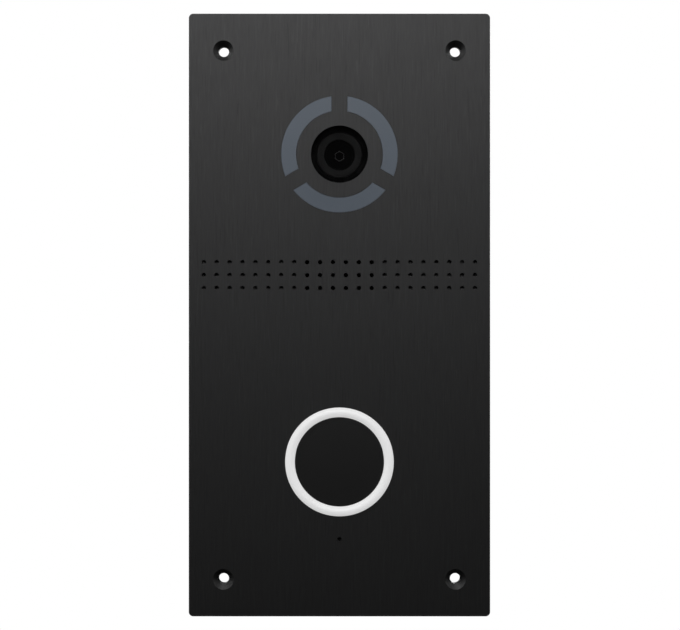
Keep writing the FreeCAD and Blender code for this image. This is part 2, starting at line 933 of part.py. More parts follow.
def filter_rotor():
    """A small magnet on a pivot, with an arm and a pin that push the slide, at the day end of its swing."""
    arm_front, arm_back = (slide_front - gap for gap in rotor_arm_gap)
    half = rotor_arm_half
    magnet = cylinder(rotor_magnet_radius, arm_front, arm_back + rotor_magnet_length, 0, 0)
    arm = block(-half, half, arm_front, arm_back, -rotor_arm, 0)
    pin = cylinder(rotor_pin_radius, arm_front, slide_back - 0.2, 0, -rotor_arm)
    tip = cylinder(half, arm_front, arm_back, 0, -rotor_arm)
    body = fuse([magnet, arm, pin, tip]).cut(
        cylinder(
            pivot_radius + running,
            arm_front - overrun,
            arm_back + rotor_magnet_length + overrun,
            0,
            0,
        )
    )
    body.rotate(V(0, 0, 0), V(0, 1, 0), math.degrees(rotor_swing() / 2))
    body.translate(V(0, 0, camera_z + rotor_pivot_height))
    return body


def filter_coil():
    """The bobbin and yoke beside the rotor's magnet."""
    z = camera_z + rotor_pivot_height
    core = block(rotor_magnet_radius + 0.6, coil_back, 16.9, 18.3, z - 0.8, z + 0.8)
    winding = block(3.8, 7.6, 16.0, 19.2, z - 2.0, z + 2.0)
    foot = block(7.0, coil_back, 18.3, camera_board_front - holder_tail_thickness, z - 0.8, z + 0.8)
    return fuse([core, winding, foot])


def image_sensor():
    w, t, h = sensor_size
    body = block(
        -w / 2, w / 2, camera_board_front - t, camera_board_front, camera_z - h / 2, camera_z + h / 2
    )
    x, z = w / 2 - sensor_rim, h / 2 - sensor_rim
    glass = camera_board_front - t + sensor_glass_drop
    return body.cut(block(-x, x, 0, glass, camera_z - z, camera_z + z))


def camera_board():
    half = camera_board_size / 2
    board = slab(half, half, 2.0, camera_board_front, camera_board_back, 0, camera_z)
    holes = [
        cylinder(
            module_screw[0] + screw_pass, camera_board_front - overrun, camera_board_back + overrun, x, z
        )
        for x, z in camera_hole_places
    ]
    holes += [
        cylinder(
            holder_screw_pass,
            camera_board_front - overrun,
            camera_board_back + overrun,
            sx * holder_screw_x,
            camera_z - holder_screw_drop,
        ) for sx in (-1, 1)
    ]
    return board.cut(holes)


def camera_bracket():
    """Bridges the illuminator: clamps its stack to the plate and carries the camera board on four posts."""
    disc = tube(bracket_radius, baffle_inner_radius + 0.1, bracket_front, bracket_back, 0, camera_z)
    adds = [disc, tube(*bracket_hub, illuminator_board_back, bracket_front, 0, camera_z)]
    adds += [
        cylinder(post_radius, bracket_front, bracket_back, *bracket_ear(a)) for a in bracket_ear_angles
    ]
    adds += [
        cylinder(bracket_post_radius, bracket_front, camera_board_front, x, z)
        for x, z in camera_hole_places
    ]
    body = fuse(adds)
    shank = module_screw[0]
    cuts = [
        cylinder(shank + screw_pass, bracket_front - overrun, bracket_back + overrun, *bracket_ear(a))
        for a in bracket_ear_angles
    ]
    cuts += [
        cylinder(
            shank + screw_slip, camera_board_front - module_screw[1], camera_board_front + overrun, x, z
        )
        for x, z in camera_hole_places
    ]
    return body.cut(cuts)


# ---- illuminator ----


def lamp_places():
    return [
        polar(lamp_ring, middle + side * lamp_spread, 0, camera_z)
        for middle in pad_angles
        for side in (-1, 1)
    ]


def light_sensor_place():
    return polar(lamp_ring, pad_angles[0], 0, camera_z)


def illuminator_window():
    flange = tube(pad_flange_radius, reflector_inner_radius + 0.3, 0, pad_flange_thickness, 0, camera_z)
    return fuse([flange, arc_pad(front, 0.5)])


def illuminator_reflector():
    ring = tube(
        pad_flange_radius, reflector_inner_radius, reflector_front, illuminator_board_front, 0, camera_z
    )
    wells = []
    back = reflector_front + reflector_depth
    for x, z in lamp_places():
        wells.append(
            cone(lamp_radius + lamp_well, lamp_radius + slip, reflector_front, back, x, z),
        )
    x, z = light_sensor_place()
    wells.append(
        cylinder(
            light_sensor_radius + slip, reflector_front - overrun, illuminator_board_front + overrun, x, z
        ),
    )
    return ring.cut(wells)


def illuminator_board():
    ring = tube(
        pad_flange_radius - 0.5,
        reflector_inner_radius,
        illuminator_board_front,
        illuminator_board_back,
        0,
        camera_z,
    )
    tab = block(
        pad_flange_radius - 3,
        illuminator_tab_end,
        illuminator_board_front,
        illuminator_board_back,
        camera_z - lamp_tab_half,
        camera_z + lamp_tab_half,
    )
    return fuse([ring, tab])


def infrared_lamps():
    """Six dome-nosed lamps, two behind each pad."""
    lamps = []
    seat = illuminator_board_front
    for x, z in lamp_places():
        nose = Part.makeSphere(lamp_radius - lamp_nose_inset, V(x, seat - lamp_barrel, z))
        nose = nose.common(cylinder(lamp_radius, reflector_front, seat - lamp_barrel, x, z))
        lamps.append(cylinder(lamp_radius, seat - lamp_barrel, seat, x, z).fuse(nose))
    return group(lamps)


def light_sensor():
    x, z = light_sensor_place()
    return cylinder(light_sensor_radius, reflector_front + 0.5, illuminator_board_front, x, z)


# ---- call button ----


def light_ring():
    """White half-round ring through the plate, with a flange and a foot behind it."""
    x_out, x_in = ring_outer_radius, ring_inner_radius
    crown = V((x_out + x_in) / 2, front - ring_crown, 0)
    arc = Part.Arc(V(x_out, front, 0), crown, V(x_in, front, 0)).toShape()
    outline = [
        V(x_in, front, 0),
        V(x_in, ring_back, 0),
        V(ring_flange_radius - 1.0, ring_back, 0),
        V(ring_flange_radius - 1.0, ring_board_front, 0),
        V(ring_flange_radius, ring_board_front, 0),
        V(ring_flange_radius, 0, 0),
        V(x_out, 0, 0),
        V(x_out, front, 0),
    ]
    wire = Part.Wire([arc] + Part.makePolygon(outline).Edges)
    body = Part.Face(wire).revolve(V(0, 0, 0), INTO_WALL, 360)
    body.translate(V(0, 0, button_z))
    return body


def button_cap():
    inner = cap_radius - cap_skirt
    lip_front = ring_back + running
    edge = 0.35
    profile = [
        (0, front),
        (cap_radius - edge, front),
        (cap_radius, front + edge),
        (cap_radius, lip_front),
        (cap_lip_radius, lip_front),
        (cap_lip_radius, cap_back),
        (inner, cap_back),
        (inner, cap_underside),
        (0, cap_underside),
    ]
    return turned(profile, 0, button_z)


def button_stem():
    """The pin behind the cap that works the switch, with a groove for its O-ring."""
    flange = cylinder(stem_flange_radius, cap_underside, cap_underside + stem_flange_thickness, 0, button_z)
    body = cylinder(stem_radius, cap_underside, stem_end, 0, button_z).fuse(flange)
    half = oring_section + oring_play
    groove = tube(
        stem_radius + overrun, stem_radius - 2 * oring_section, oring_y - half, oring_y + half, 0, button_z
    )
    return body.cut(groove)


def stem_oring():
    return Part.makeTorus(oring_middle, oring_section, V(0, oring_y, button_z), INTO_WALL)


def button_spring():
    """Compression spring between the cap and the pot's floor, in half turns tilted to meet."""
    start = cap_underside + spring_wire / 2
    rise = (pot_front + pot_depth - spring_wire / 2 - start) / spring_half_turns
    reach = math.hypot(spring_mean_radius, rise / 2)
    tilt = math.degrees(math.atan2(rise / 2, spring_mean_radius))
    coils = []
    for i in range(spring_half_turns):
        coil = Part.makeTorus(reach, spring_wire / 2, V(0, 0, 0), V(0, 0, 1), 0, 360, 180)
        coil.rotate(V(0, 0, 0), V(0, 0, 1), 180 * (i % 2))
        coil.rotate(V(0, 0, 0), V(0, 1, 0), tilt if i % 2 == 0 else -tilt)
        coil.translate(V(0, 0, rise * (i + 0.5)))
        coils.append(coil)
    spring = fuse(coils)
    spring.rotate(V(0, 0, 0), V(1, 0, 0), -90)
    spring.translate(V(0, start, button_z))
    return spring


def pot_ear(angle):
    return polar(pot_ear_radius, angle, 0, button_z)


def button_pot():
    """The cup behind the button: presses the lamp board on the light ring and guides the stem."""
    floor_front = pot_front + pot_depth
    wall = tube(pot_radius, pot_radius - pot_wall, pot_front, floor_front, 0, button_z)
    floor = cylinder(pot_radius, floor_front, pot_back, 0, button_z)
    guide = cylinder(
        stem_radius + running + pot_guide_wall, pot_back - pot_guide_length, pot_back, 0, button_z
    )
    adds = [wall, floor, guide]
    for angle in pot_ear_angles:
        ear = block(
            pot_radius - overrun, pot_ear_radius, pot_ear_front, pot_back, -post_radius, post_radius
        )
        ear.rotate(V(0, 0, 0), V(0, -1, 0), angle)
        ear.translate(V(0, 0, button_z))
        adds += [ear, cylinder(post_radius, pot_ear_front, pot_back, *pot_ear(angle))]
    body = fuse(adds)
    cuts = [cylinder(stem_radius + running, pot_front - overrun, pot_back + overrun, 0, button_z)]
    cuts += [
        cylinder(module_screw[0] + screw_pass, pot_ear_front - overrun, pot_back + overrun, *pot_ear(a))
        for a in pot_ear_angles
    ]
    return body.cut(cuts)


def ring_lamp_board():
    ring = tube(ring_flange_radius, ring_board_inner, ring_board_front, ring_board_back, 0, button_z)
    low, high = button_z + ring_flange_radius - 2, button_z + ring_header_z + 2.0
    return fuse([ring, block(-6.0, 6.0, ring_board_front, ring_board_back, low, high)])


def ring_lamps():
    lamps = []
    x, z = ring_lamp_half
    for i in range(ring_lamp_count):
        lamp = block(-x, x, ring_board_front - ring_lamp_height, ring_board_front, -z, z)
        lamp.translate(V(ring_lamp_place, 0, 0))
        lamp.rotate(V(0, 0, 0), V(0, -1, 0), 360.0 / ring_lamp_count * i)
        lamp.translate(V(0, 0, button_z))
        lamps.append(lamp)
    return group(lamps)


def ring_board_header():
    """Four pins from the ring's lamp board and the main board's socket for them."""
    z, half = button_z + ring_header_z, header_half_width
    low, high = z - header_half_height, z + header_half_height
    pin, hole = header_pin, header_pin + running
    base = block(-half, half, ring_board_back, ring_board_back + header_rise, low, high)
    pins = [
        block(x - pin, x + pin, ring_board_back + overrun, main_board_front - 5.0, z - pin, z + pin)
        for x in header_pins
    ]
    socket = block(-half, half, main_board_front - header_socket_depth, main_board_front, low, high)
    socket = socket.cut(
        [block(x - hole, x + hole, 0, main_board_front - 4.5, z - hole, z + hole) for x in header_pins]
    )
    return [fuse([base] + pins), socket]


def call_switch():
    body = slab(switch_half, switch_half, switch_corner, switch_front, main_board_front, 0, button_z)
    return body.cut(
        cylinder(switch_plunger_radius + running, 0, switch_front + 1.0 + call_travel, 0, button_z),
    )


def switch_plunger():
    return cylinder(switch_plunger_radius, stem_end, switch_front + 0.9, 0, button_z)


# ---- sound ----


def sound_mesh():
    return slab(
        sound_opening_x + mesh_lap, sound_opening_z + mesh_lap, 1.5, 0, mesh_thickness, 0, speaker_z
    )


def speaker_gasket():
    return tube(speaker_radius, speaker_radius - 2.0, speaker_gasket_front, speaker_front, 0, speaker_z)


def speaker_basket():
    """Pressed steel basket with four windows."""
    y = speaker_front + 0.4
    back = speaker_back - magnet_length
    profile = [
        (cone_radius + surround_width - 0.2, y),
        (speaker_radius, y),
        (speaker_radius, y + 0.8),
        (cone_radius + surround_width + 0.8, y + 0.8),
        (10.0, back),
        (coil_radius + coil_wall + 0.6, back),
        (coil_radius + coil_wall + 0.6, back - basket_wall),
        (9.4, back - basket_wall),
    ]
    body = turned(profile, 0, speaker_z)
    windows = []
    for i in range(4):
        window = block(-basket_window_half, basket_window_half, y + 1.2, back - 1.2, 0, speaker_radius)
        window.rotate(V(0, 0, 0), V(0, 1, 0), 45 + 90 * i)
        window.translate(V(0, 0, speaker_z))
        windows.append(window)
    return body.cut(windows)


def speaker_cone():
    """The cone and its dust cap in one thin shell."""
    apex_radius = coil_radius + coil_wall
    profile = [
        (cone_radius, cone_front),
        (cone_radius, cone_front + cone_wall),
        (cone_rim, cone_front + cone_wall),
        (apex_radius, cone_apex + cone_wall),
        (coil_radius - 0.6, cone_apex + cone_wall),
        (2.6, cone_apex - 0.4),
        (0, cone_apex - 0.8),
        (0, cone_apex - 0.8 - cone_wall),
        (2.7, cone_apex - 0.4 - cone_wall),
        (coil_radius - 0.6, cone_apex - 0.1),
        (apex_radius, cone_apex),
        (cone_rim, cone_front),
    ]
    return turned(profile, 0, speaker_z)


def voice_coil():
    return tube(
        coil_radius + coil_wall, coil_radius, cone_apex + cone_wall, speaker_back - 2.4, 0, speaker_z
    )


def speaker_surround():
    """Half-roll of rubber between the cone and the basket, with two flat lips."""
    y0, y1 = speaker_front, speaker_front + 0.4
    middle = cone_radius + surround_width / 2
    big, small = surround_width / 2 - 0.1, surround_width / 2 - 0.4
    step = math.sqrt(big**2 - (y1 - y0) ** 2)
    outer = Part.Arc(V(middle + step, y0, 0), V(middle, y1 - big, 0), V(middle - step, y0, 0)).toShape()
    inner = Part.Arc(V(middle - small, y1, 0), V(middle, y1 - small, 0), V(middle + small, y1, 0)).toShape()
    inside = Part.makePolygon(
        [V(middle - step, y0, 0), V(cone_rim, y0, 0), V(cone_rim, y1, 0), V(middle - small, y1, 0)]
    )
    outside = Part.makePolygon(
        [
            V(middle + small, y1, 0),
            V(speaker_radius, y1, 0),
            V(speaker_radius, y0, 0),
            V(middle + step, y0, 0),
        ]
    )
    body = Part.Face(Part.Wire([outer] + inside.Edges + [inner] + outside.Edges))
    body = body.revolve(V(0, 0, 0), INTO_WALL, 360)
    body.translate(V(0, 0, speaker_z))
    return body


def speaker_magnet():
    """Top plate, ring magnet and yoke, stacked."""
    y = speaker_back - magnet_length
    plate, yoke_thickness = magnet_plate
    yoke_front = speaker_back - yoke_thickness
    gap = coil_radius + coil_wall + magnet_gap
    top = tube(magnet_radius, gap, y, y + plate, 0, speaker_z)
    magnet = tube(magnet_radius + magnet_overhang, gap + 1.0, y + plate, yoke_front, 0, speaker_z)
    yoke = cylinder(magnet_radius, yoke_front, speaker_back, 0, speaker_z)
    yoke = yoke.fuse(cylinder(coil_radius - 0.45, y, speaker_back - 1, 0, speaker_z))
    return group([top, magnet, yoke])


def speaker_clamp():
    """Sprung steel bar across the magnet, screwed to two posts."""
    y = speaker_back
    bar = slab(clamp_post_x + post_radius, clamp_width / 2, 2.0, y, y + clamp_thickness, 0, speaker_z)
    holes = [
        cylinder(module_screw[0] + screw_pass, y - overrun, y + 2, sx * clamp_post_x, speaker_z) for sx in (
            -1, 1
        )
    ]
    return bar.cut(holes)


def microphone_membrane():
    y = -boot_nose - membrane_thickness
    return cylinder(boot_nose_radius, y, -boot_nose, 0, microphone_z)


def microphone_boot():
    """Rubber sleeve that seals the microphone to the plate."""
    nose = cylinder(boot_nose_radius, -boot_nose, 0.5, 0, microphone_z)
    body = cylinder(boot_radius, 0, boot_length, 0, microphone_z)
    flange = cylinder(boot_radius + boot_flange, carrier_back, carrier_back + 1.0, 0, microphone_z)
    bore = cylinder(microphone_radius + running, microphone_front, boot_length + overrun, 0, microphone_z)
    port = cylinder(sound_hole_radius, -boot_nose - overrun, boot_length, 0, microphone_z)
    return fuse([nose, body, flange]).cut([bore, port])


def microphone():
    return cylinder(
        microphone_radius, microphone_front, microphone_front + microphone_length, 0, microphone_z
    )


# ---- main board ----


def main_board():
    middle = (main_board_bottom + main_board_top) / 2
    board = slab(
        main_board_half_width,
        (main_board_top - main_board_bottom) / 2,
        1.5,
        main_board_front,
        main_board_back,
        0,
        middle,
    )
    holes = [
        cylinder(
            module_screw[0] + screw_pass, main_board_front - overrun, main_board_back + overrun, x, z
        ) for x, z in main_post_places
    ]
    return board.cut(holes)


def main_board_chips():
    """Processor, memory, flash, network and audio chips, as separate packages on the board's back."""
    y = main_board_back
    chips = []
    for x, z, w, h, t in [
        (-6, speaker_z - 12, 17, 17, 1.4),
        (14, speaker_z - 7, 9, 13, 1.1),
        (14, speaker_z - 23, 9, 13, 1.1),
        (-24, speaker_z - 8, 6, 8, 1.0),
        (-24, speaker_z - 22, 7, 7, 1.0),
        (26, speaker_z + 8, 5, 5, 0.9),
    ]:
        chips.append(block(x - w / 2, x + w / 2, y, y + t, z - h / 2, z + h / 2))
    return group(chips)


def power_parts():
    """Two electrolytic cans, a choke, a network transformer, a diode pack and the door-lock relay."""
    y, z = main_board_back, button_z + 4.0
    can = cylinder(4.0, y, y + 9.5, 25.0, z + 6)
    cans = [can, cylinder(3.15, y, y + 7.0, 25.0, z - 5)]
    choke = slab(5.0, 5.0, 1.5, y, y + 4.5, 12.0, z + 4)
    transformer = block(-12.0, 2.0, y, y + 6.0, z - 4, z + 9)
    diodes = block(-1.0, 5.0, y, y + 2.2, z - 9.5, z - 6.5)
    relay = block(-33.0, -17.5, y, y + 10.5, z - 6.0, z + 13.0)
    return group(cans + [choke, transformer, diodes, relay])


def connector_places():
    """Left edges of the network socket and the terminal blocks, side by side in the bay."""
    step = terminal_width() + connector_gap
    start = -(socket_width + terminal_blocks_count * step) / 2
    return start, [start + socket_width + connector_gap + i * step for i in range(terminal_blocks_count)]


def terminal_width():
    return terminal_ways * terminal_pitch + 2 * terminal_end


def network_socket():
    x0, _ = connector_places()
    z0 = bay_middle - socket_height / 2
    body = block(x0, x0 + socket_width, main_board_back, connector_back, z0, z0 + socket_height)
    mid = x0 + socket_width / 2
    y0, y1 = connector_back - socket_mouth_depth, connector_back + overrun
    cuts = [
        block(mid - half, mid + half, y0, y1, z0 + low, z0 + high)
        for half, low, high in (socket_mouth, socket_key, socket_latch)
    ]
    return body.cut(cuts)


def terminal_blocks():
    """Spring terminals: a round wire entry and a release slot for each way."""
    blocks = []
    z0 = bay_middle - terminal_height / 2
    entry_radius, entry_z, entry_depth = terminal_entry
    half, low, high, release_depth = terminal_release
    y1 = connector_back + overrun
    for x0 in connector_places()[1]:
        body = block(
            x0, x0 + terminal_width(), main_board_back, connector_back, z0, z0 + terminal_height
        )
        cuts = []
        for i in range(terminal_ways):
            x = x0 + terminal_end + terminal_pitch * (i + 0.5)
            cuts.append(cylinder(entry_radius, connector_back - entry_depth, y1, x, z0 + entry_z))
            cuts.append(block(x - half, x + half, connector_back - release_depth, y1, z0 + low, z0 + high))
        blocks.append(body.cut(cuts))
    return group(blocks)


def board_connectors():
    """The lamp board's pins and socket, two ribbon connectors, and the plugs of the three leads."""
    w, t, deep = ribbon_width / 2 + 1.5, ribbon_end_height, ribbon_end_depth
    low_z, high_z = ribbon_ends()
    parts = ring_board_header() + [
        block(-w, w, camera_board_back, camera_board_back + t, high_z, high_z + deep),
        block(-w, w, main_board_back, main_board_back + t, low_z - deep, low_z),
    ]
    for x, z in (speaker_plug, microphone_plug, illuminator_plug):
        parts.append(
            block(
                x - plug_half_width,
                x + plug_half_width,
                main_board_front - plug_height,
                main_board_front,
                z - plug_half_height,
                z + plug_half_height,
            ),
        )
    x, z = illuminator_tab_plug
    parts.append(
        block(
            x - 2.2,
            x + 2.2,
            illuminator_board_back,
            illuminator_board_back + tab_plug_height,
            z - plug_half_width,
            z + plug_half_width,
        ),
    )
    return group(parts)


def ribbon_ends():
    return main_board_top - 4.0, camera_z - camera_board_size / 2 + 3.0


def camera_ribbon():
    """Flat cable between the two boards, bent out over the gap between them."""
    low_z, high_z = ribbon_ends()
    low_y = main_board_back + 0.9
    high_y = camera_board_back + 0.9
    bulge = high_y + 2.6
    points = [V(0, low_y, low_z), V(0, low_y, low_z + 3), V(0, bulge, high_z - 8), V(0, bulge, high_z - 3)]
    points += [V(0, high_y, high_z - 1.5), V(0, high_y, high_z)]
    spine = rounded_path(points)
    half = ribbon_width / 2
    edge = Part.Wire(Part.makePolygon([
        V(-half, low_y - ribbon_thickness / 2, low_z),
        V(half, low_y - ribbon_thickness / 2, low_z),
        V(half, low_y + ribbon_thickness / 2, low_z),
        V(-half, low_y + ribbon_thickness / 2, low_z),
        V(-half, low_y - ribbon_thickness / 2, low_z),
    ]))
    return spine.makePipeShell([edge], True, False)


def rounded_path(points):
    """Straight runs joined by tangent arcs, each as large as its two runs allow."""
    edges, start = [], points[0]
    for before, corner, after in zip(points, points[1:], points[2:]):
        to_before, to_after = (before - corner).normalize(), (after - corner).normalize()
        cut = 0.45 * min((before - corner).Length, (after - corner).Length)
        enter, leave = corner + to_before * cut, corner + to_after * cut
        half = to_before.getAngle(to_after) / 2
        radius = cut * math.tan(half)
        inward = (to_before + to_after).normalize()
        middle = corner + inward * (cut / math.cos(half) - radius)
        edges.append(Part.LineSegment(start, enter).toShape())
        edges.append(Part.Arc(enter, middle, leave).toShape())
        start = leave
    edges.append(Part.LineSegment(start, points[-1]).toShape())
    return Part.Wire(edges)


def lead(points, radius):
    """A round wire along a rounded path."""
    spine = rounded_path(points)
    direction = points[1] - points[0]
    section = Part.Wire(Part.makeCircle(radius, points[0], direction))
    return spine.makePipeShell([section], True, False)


def wire_pair(points, radius, apart):
    """Two wires side by side along the same route."""
    return [lead([p + apart * side for p in points], radius) for side in (-1, 1)]


def speaker_lead():
    x, z = speaker_plug
    y = main_board_front - plug_height
    start_x, start_z = polar(speaker_radius - 0.45, -37.0, 0, speaker_z)
    points = [
        V(start_x, speaker_front + 1.2, start_z),
        V(start_x, speaker_front + 4.0, start_z),
        V(start_x + 3.0, speaker_front + 6.0, start_z - 3.0),
        V(x - 1.0, y - 3.5, z - 0.5),
        V(x, y - 2.0, z),
        V(x, y, z),
    ]
    return wire_pair(points, 0.45, V(0, 0, 0.7))


def microphone_lead():
    x, z = microphone_plug
    y = main_board_front - plug_height
    start_y = microphone_front + microphone_length
    points = [
        V(0, start_y, microphone_z),
        V(0, start_y + 3.5, microphone_z),
        V(4.0, start_y + 5.0, microphone_z + 1.0),
        V(x - 1.0, y - 3.0, z - 0.3),
        V(x, y - 1.8, z),
        V(x, y, z),
    ]
    return wire_pair(points, 0.4, V(0, 0, 0.7))


def illuminator_lead():
    x0, z0 = illuminator_tab_plug
    x1, z1 = illuminator_plug
    y = main_board_front - plug_height
    start_y = illuminator_board_back + tab_plug_height
    points = [
        V(x0, start_y, z0),
        V(x0, start_y + 4.0, z0),
        V(x0 - 1.0, start_y + 4.5, z0 - 8.0),
        V(x1 + 1.0, y - 4.0, z1 + 9.0),
        V(x1, y - 3.5, z1 + 1.0),
        V(x1, y - 1.5, z1),
        V(x1, y, z1),
    ]
    return wire_pair(points, 0.45, V(0.8, 0, 0))


def internal_leads():
    """Three soldered pairs of wires: speaker, microphone and illuminator."""
    return group(speaker_lead() + microphone_lead() + illuminator_lead())


def module_screws():
    """The small pan-head screws that hold the modules and boards, and the two that hold the lens holder."""
    screws = [screw(module_screw, main_board_back, x, z) for x, z in main_post_places]
    screws += [screw(module_screw, camera_board_back, x, z) for x, z in camera_hole_places]
    screws += [screw(module_screw, bracket_back, *bracket_ear(a)) for a in bracket_ear_angles]
    screws += [screw(module_screw, pot_back, *pot_ear(a)) for a in pot_ear_angles]
    screws += [
        screw(module_screw, speaker_back + clamp_thickness, sx * clamp_post_x, speaker_z) for sx in (-1, 1)
    ]
    screws += [
        screw(
            holder_screw, camera_board_back, sx * holder_screw_x, camera_z - holder_screw_drop
        ) for sx in (-1, 1)
    ]
    return group(screws)


PARTS = [
    face_plate, weld_studs, stud_nuts, wall_gasket, front_gasket, carrier_frame, rear_cover,
    rating_label, rear_cover_seal, rear_cover_screws, camera_window, light_baffle, lens_barrel,
    lens_stop, front_lens, inner_lenses, lens_lock_ring, lens_holder, filter_slide, filter_panes,
    filter_rotor, filter_coil, image_sensor, camera_board, camera_bracket, illuminator_window,
    illuminator_reflector, illuminator_board, infrared_lamps, light_sensor, light_ring, button_cap,
    button_stem, stem_oring, button_spring, button_pot, ring_lamp_board, ring_lamps, call_switch,
    switch_plunger, sound_mesh, speaker_gasket, speaker_basket, speaker_cone, voice_coil,
    speaker_surround, speaker_magnet, speaker_clamp, microphone_membrane, microphone_boot, microphone,
    main_board, main_board_chips, power_parts, network_socket, terminal_blocks, board_connectors,
    camera_ribbon, internal_leads, module_screws,
]


def main():
    os.makedirs("parts", exist_ok=True)
    for make in PARTS:
        shape = make()
        solids = shape.Solids
        fault = "" if solids and all(s.isValid() and s.Volume > 0 for s in solids) else " INVALID"
        print(f"{make.__name__}: {len(solids)} solids, {shape.Volume:.1f} mm3{fault}")
        shape.exportStep(f"parts/{make.__name__}.step")


main()
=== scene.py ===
import math

import bmesh
import bpy
from mathutils import Matrix, Vector


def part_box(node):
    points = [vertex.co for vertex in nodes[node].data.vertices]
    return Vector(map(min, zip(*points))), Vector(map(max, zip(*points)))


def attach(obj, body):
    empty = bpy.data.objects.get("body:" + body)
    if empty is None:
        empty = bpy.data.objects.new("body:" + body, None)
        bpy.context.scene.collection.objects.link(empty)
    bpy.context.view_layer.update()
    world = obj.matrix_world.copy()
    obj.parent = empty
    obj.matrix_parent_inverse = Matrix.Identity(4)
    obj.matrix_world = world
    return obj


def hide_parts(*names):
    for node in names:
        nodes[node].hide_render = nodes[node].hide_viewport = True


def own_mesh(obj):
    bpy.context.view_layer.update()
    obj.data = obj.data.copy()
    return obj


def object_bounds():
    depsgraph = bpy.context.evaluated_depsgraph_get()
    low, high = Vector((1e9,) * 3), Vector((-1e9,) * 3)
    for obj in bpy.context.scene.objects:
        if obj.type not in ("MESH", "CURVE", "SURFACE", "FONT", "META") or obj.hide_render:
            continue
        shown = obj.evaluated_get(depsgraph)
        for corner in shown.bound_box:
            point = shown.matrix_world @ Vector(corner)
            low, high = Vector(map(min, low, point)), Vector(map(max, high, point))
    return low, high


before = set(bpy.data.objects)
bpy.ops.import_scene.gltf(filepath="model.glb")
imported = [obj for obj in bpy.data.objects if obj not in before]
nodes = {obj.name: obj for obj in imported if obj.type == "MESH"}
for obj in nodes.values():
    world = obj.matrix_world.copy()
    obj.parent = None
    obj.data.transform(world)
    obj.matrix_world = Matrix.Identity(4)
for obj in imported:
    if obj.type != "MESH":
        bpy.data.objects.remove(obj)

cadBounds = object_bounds()
mm = 0.001


def centreOf(node):
    low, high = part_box(node)
    return (low + high) / 2


def finishMesh(bm, name, sharpAngle=32):
    # merges, turns the faces outwards and marks the edges that stay crisp
    bmesh.ops.remove_doubles(bm, verts=bm.verts, dist=1e-7)
    bmesh.ops.recalc_face_normals(bm, faces=bm.faces)
    for face in bm.faces:
        face.smooth = True
    for edge in bm.edges:
        edge.smooth = len(edge.link_faces) == 2 and edge.calc_face_angle(0) < math.radians(sharpAngle)
    mesh = bpy.data.meshes.new(name)
    bm.to_mesh(mesh)
    bm.free()
    return mesh


def addPiece(name, bm, body, material, sharpAngle=32):
    piece = bpy.data.objects.new(name, finishMesh(bm, name, sharpAngle))
    bpy.context.scene.collection.objects.link(piece)
    piece.data.materials.append(material)
    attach(piece, body)
    return piece


def drawProfile(bm, axis, outline, steps=6):
    # outline: (radius, y, corner) in mm, closed; the corners are rounded by a vertex bevel
    rim = [bm.verts.new(axis + Vector((r * mm, y * mm, 0))) for r, y, corner in outline]
    for first, second in zip(rim, rim[1:] + rim[:1]):
        bm.edges.new((first, second))
    soft = sorted({corner for r, y, corner in outline if corner > 0})
    for size in soft:
        picked = [vert for vert, (r, y, corner) in zip(rim, outline) if corner == size]
        bmesh.ops.bevel(
            bm, geom=picked, offset=size * mm, offset_type="OFFSET", segments=steps, affect="VERTICES",
            profile=0.5, material=-1
        )


def spinRound(bm, axis, segments=160):
    bmesh.ops.spin(
        bm, geom=bm.verts[:] + bm.edges[:], cent=axis, axis=(0, 1, 0), angle=math.tau, steps=segments,
        use_merge=True
    )


def lathe(outline, centre, segments=160, steps=6):
    bm = bmesh.new()
    axis = Vector((centre.x, 0, centre.z))
    drawProfile(bm, axis, outline, steps)
    spinRound(bm, axis, segments)
    return bm


def roundedBar(bm, low, high, corner, segments=2):
    # a block between two corners in metres, with softened edges
    made = bmesh.ops.create_cube(bm, size=1.0)["verts"]
    size = high - low
    bmesh.ops.scale(bm, verts=made, vec=size)
    bmesh.ops.translate(bm, verts=made, vec=(low + high) / 2)
    edges = {edge for vert in made for edge in vert.link_edges}
    bmesh.ops.bevel(
        bm, geom=list(edges), offset=corner, offset_type="OFFSET", segments=segments,
        affect="EDGES", profile=0.5, material=-1
    )


def newGroup(name, inputs, outputs):
    group = bpy.data.node_groups.new(name, "ShaderNodeTree")
    for label, kind, value in inputs:
        socket = group.interface.new_socket(name=label, in_out="INPUT", socket_type=kind)
        if value is not None:
            socket.default_value = value
    for label, kind in outputs:
        group.interface.new_socket(name=label, in_out="OUTPUT", socket_type=kind)
    start = group.nodes.new("NodeGroupInput")
    end = group.nodes.new("NodeGroupOutput")
    return group, start, end


def addNode(tree, kind, links=None, **values):
    # links: input name or index to the socket that feeds it; values: node properties, or sockets as s_Name
    node = tree.nodes.new(kind)
    for key, value in values.items():
        if not key.startswith("s_"):
            setattr(node, key, value)
    for key, value in values.items():
        if key.startswith("s_"):
            node.inputs[key[2:].replace("_", " ")].default_value = value
    for key, socket in (links or {}).items():
        tree.links.new(socket, node.inputs[key])
    return node


def stretchedNoise(tree, place, scale, size, detail=3.0, rough=0.55):
    # noise on coordinates that are first scaled, so it can be drawn out into streaks
    mapping = addNode(tree, "ShaderNodeMapping", {"Vector": place}, s_Scale=scale)
    noise = addNode(
        tree, "ShaderNodeTexNoise", {"Vector": mapping.outputs["Vector"]},
        s_Scale=size, s_Detail=detail, s_Roughness=rough
    )
    return noise.outputs["Fac"]


def remap(tree, value, low, high, outLow=0.0, outHigh=1.0):
    node = addNode(
        tree, "ShaderNodeMapRange", {"Value": value}, s_From_Min=low, s_From_Max=high,
        s_To_Min=outLow, s_To_Max=outHigh
    )
    return node.outputs["Result"]


def mathNode(tree, operation, first, second):
    node = addNode(tree, "ShaderNodeMath", operation=operation)
    for index, term in enumerate((first, second)):
        if isinstance(term, (int, float)):
            node.inputs[index].default_value = term
        else:
            tree.links.new(term, node.inputs[index])
    return node.outputs["Value"]


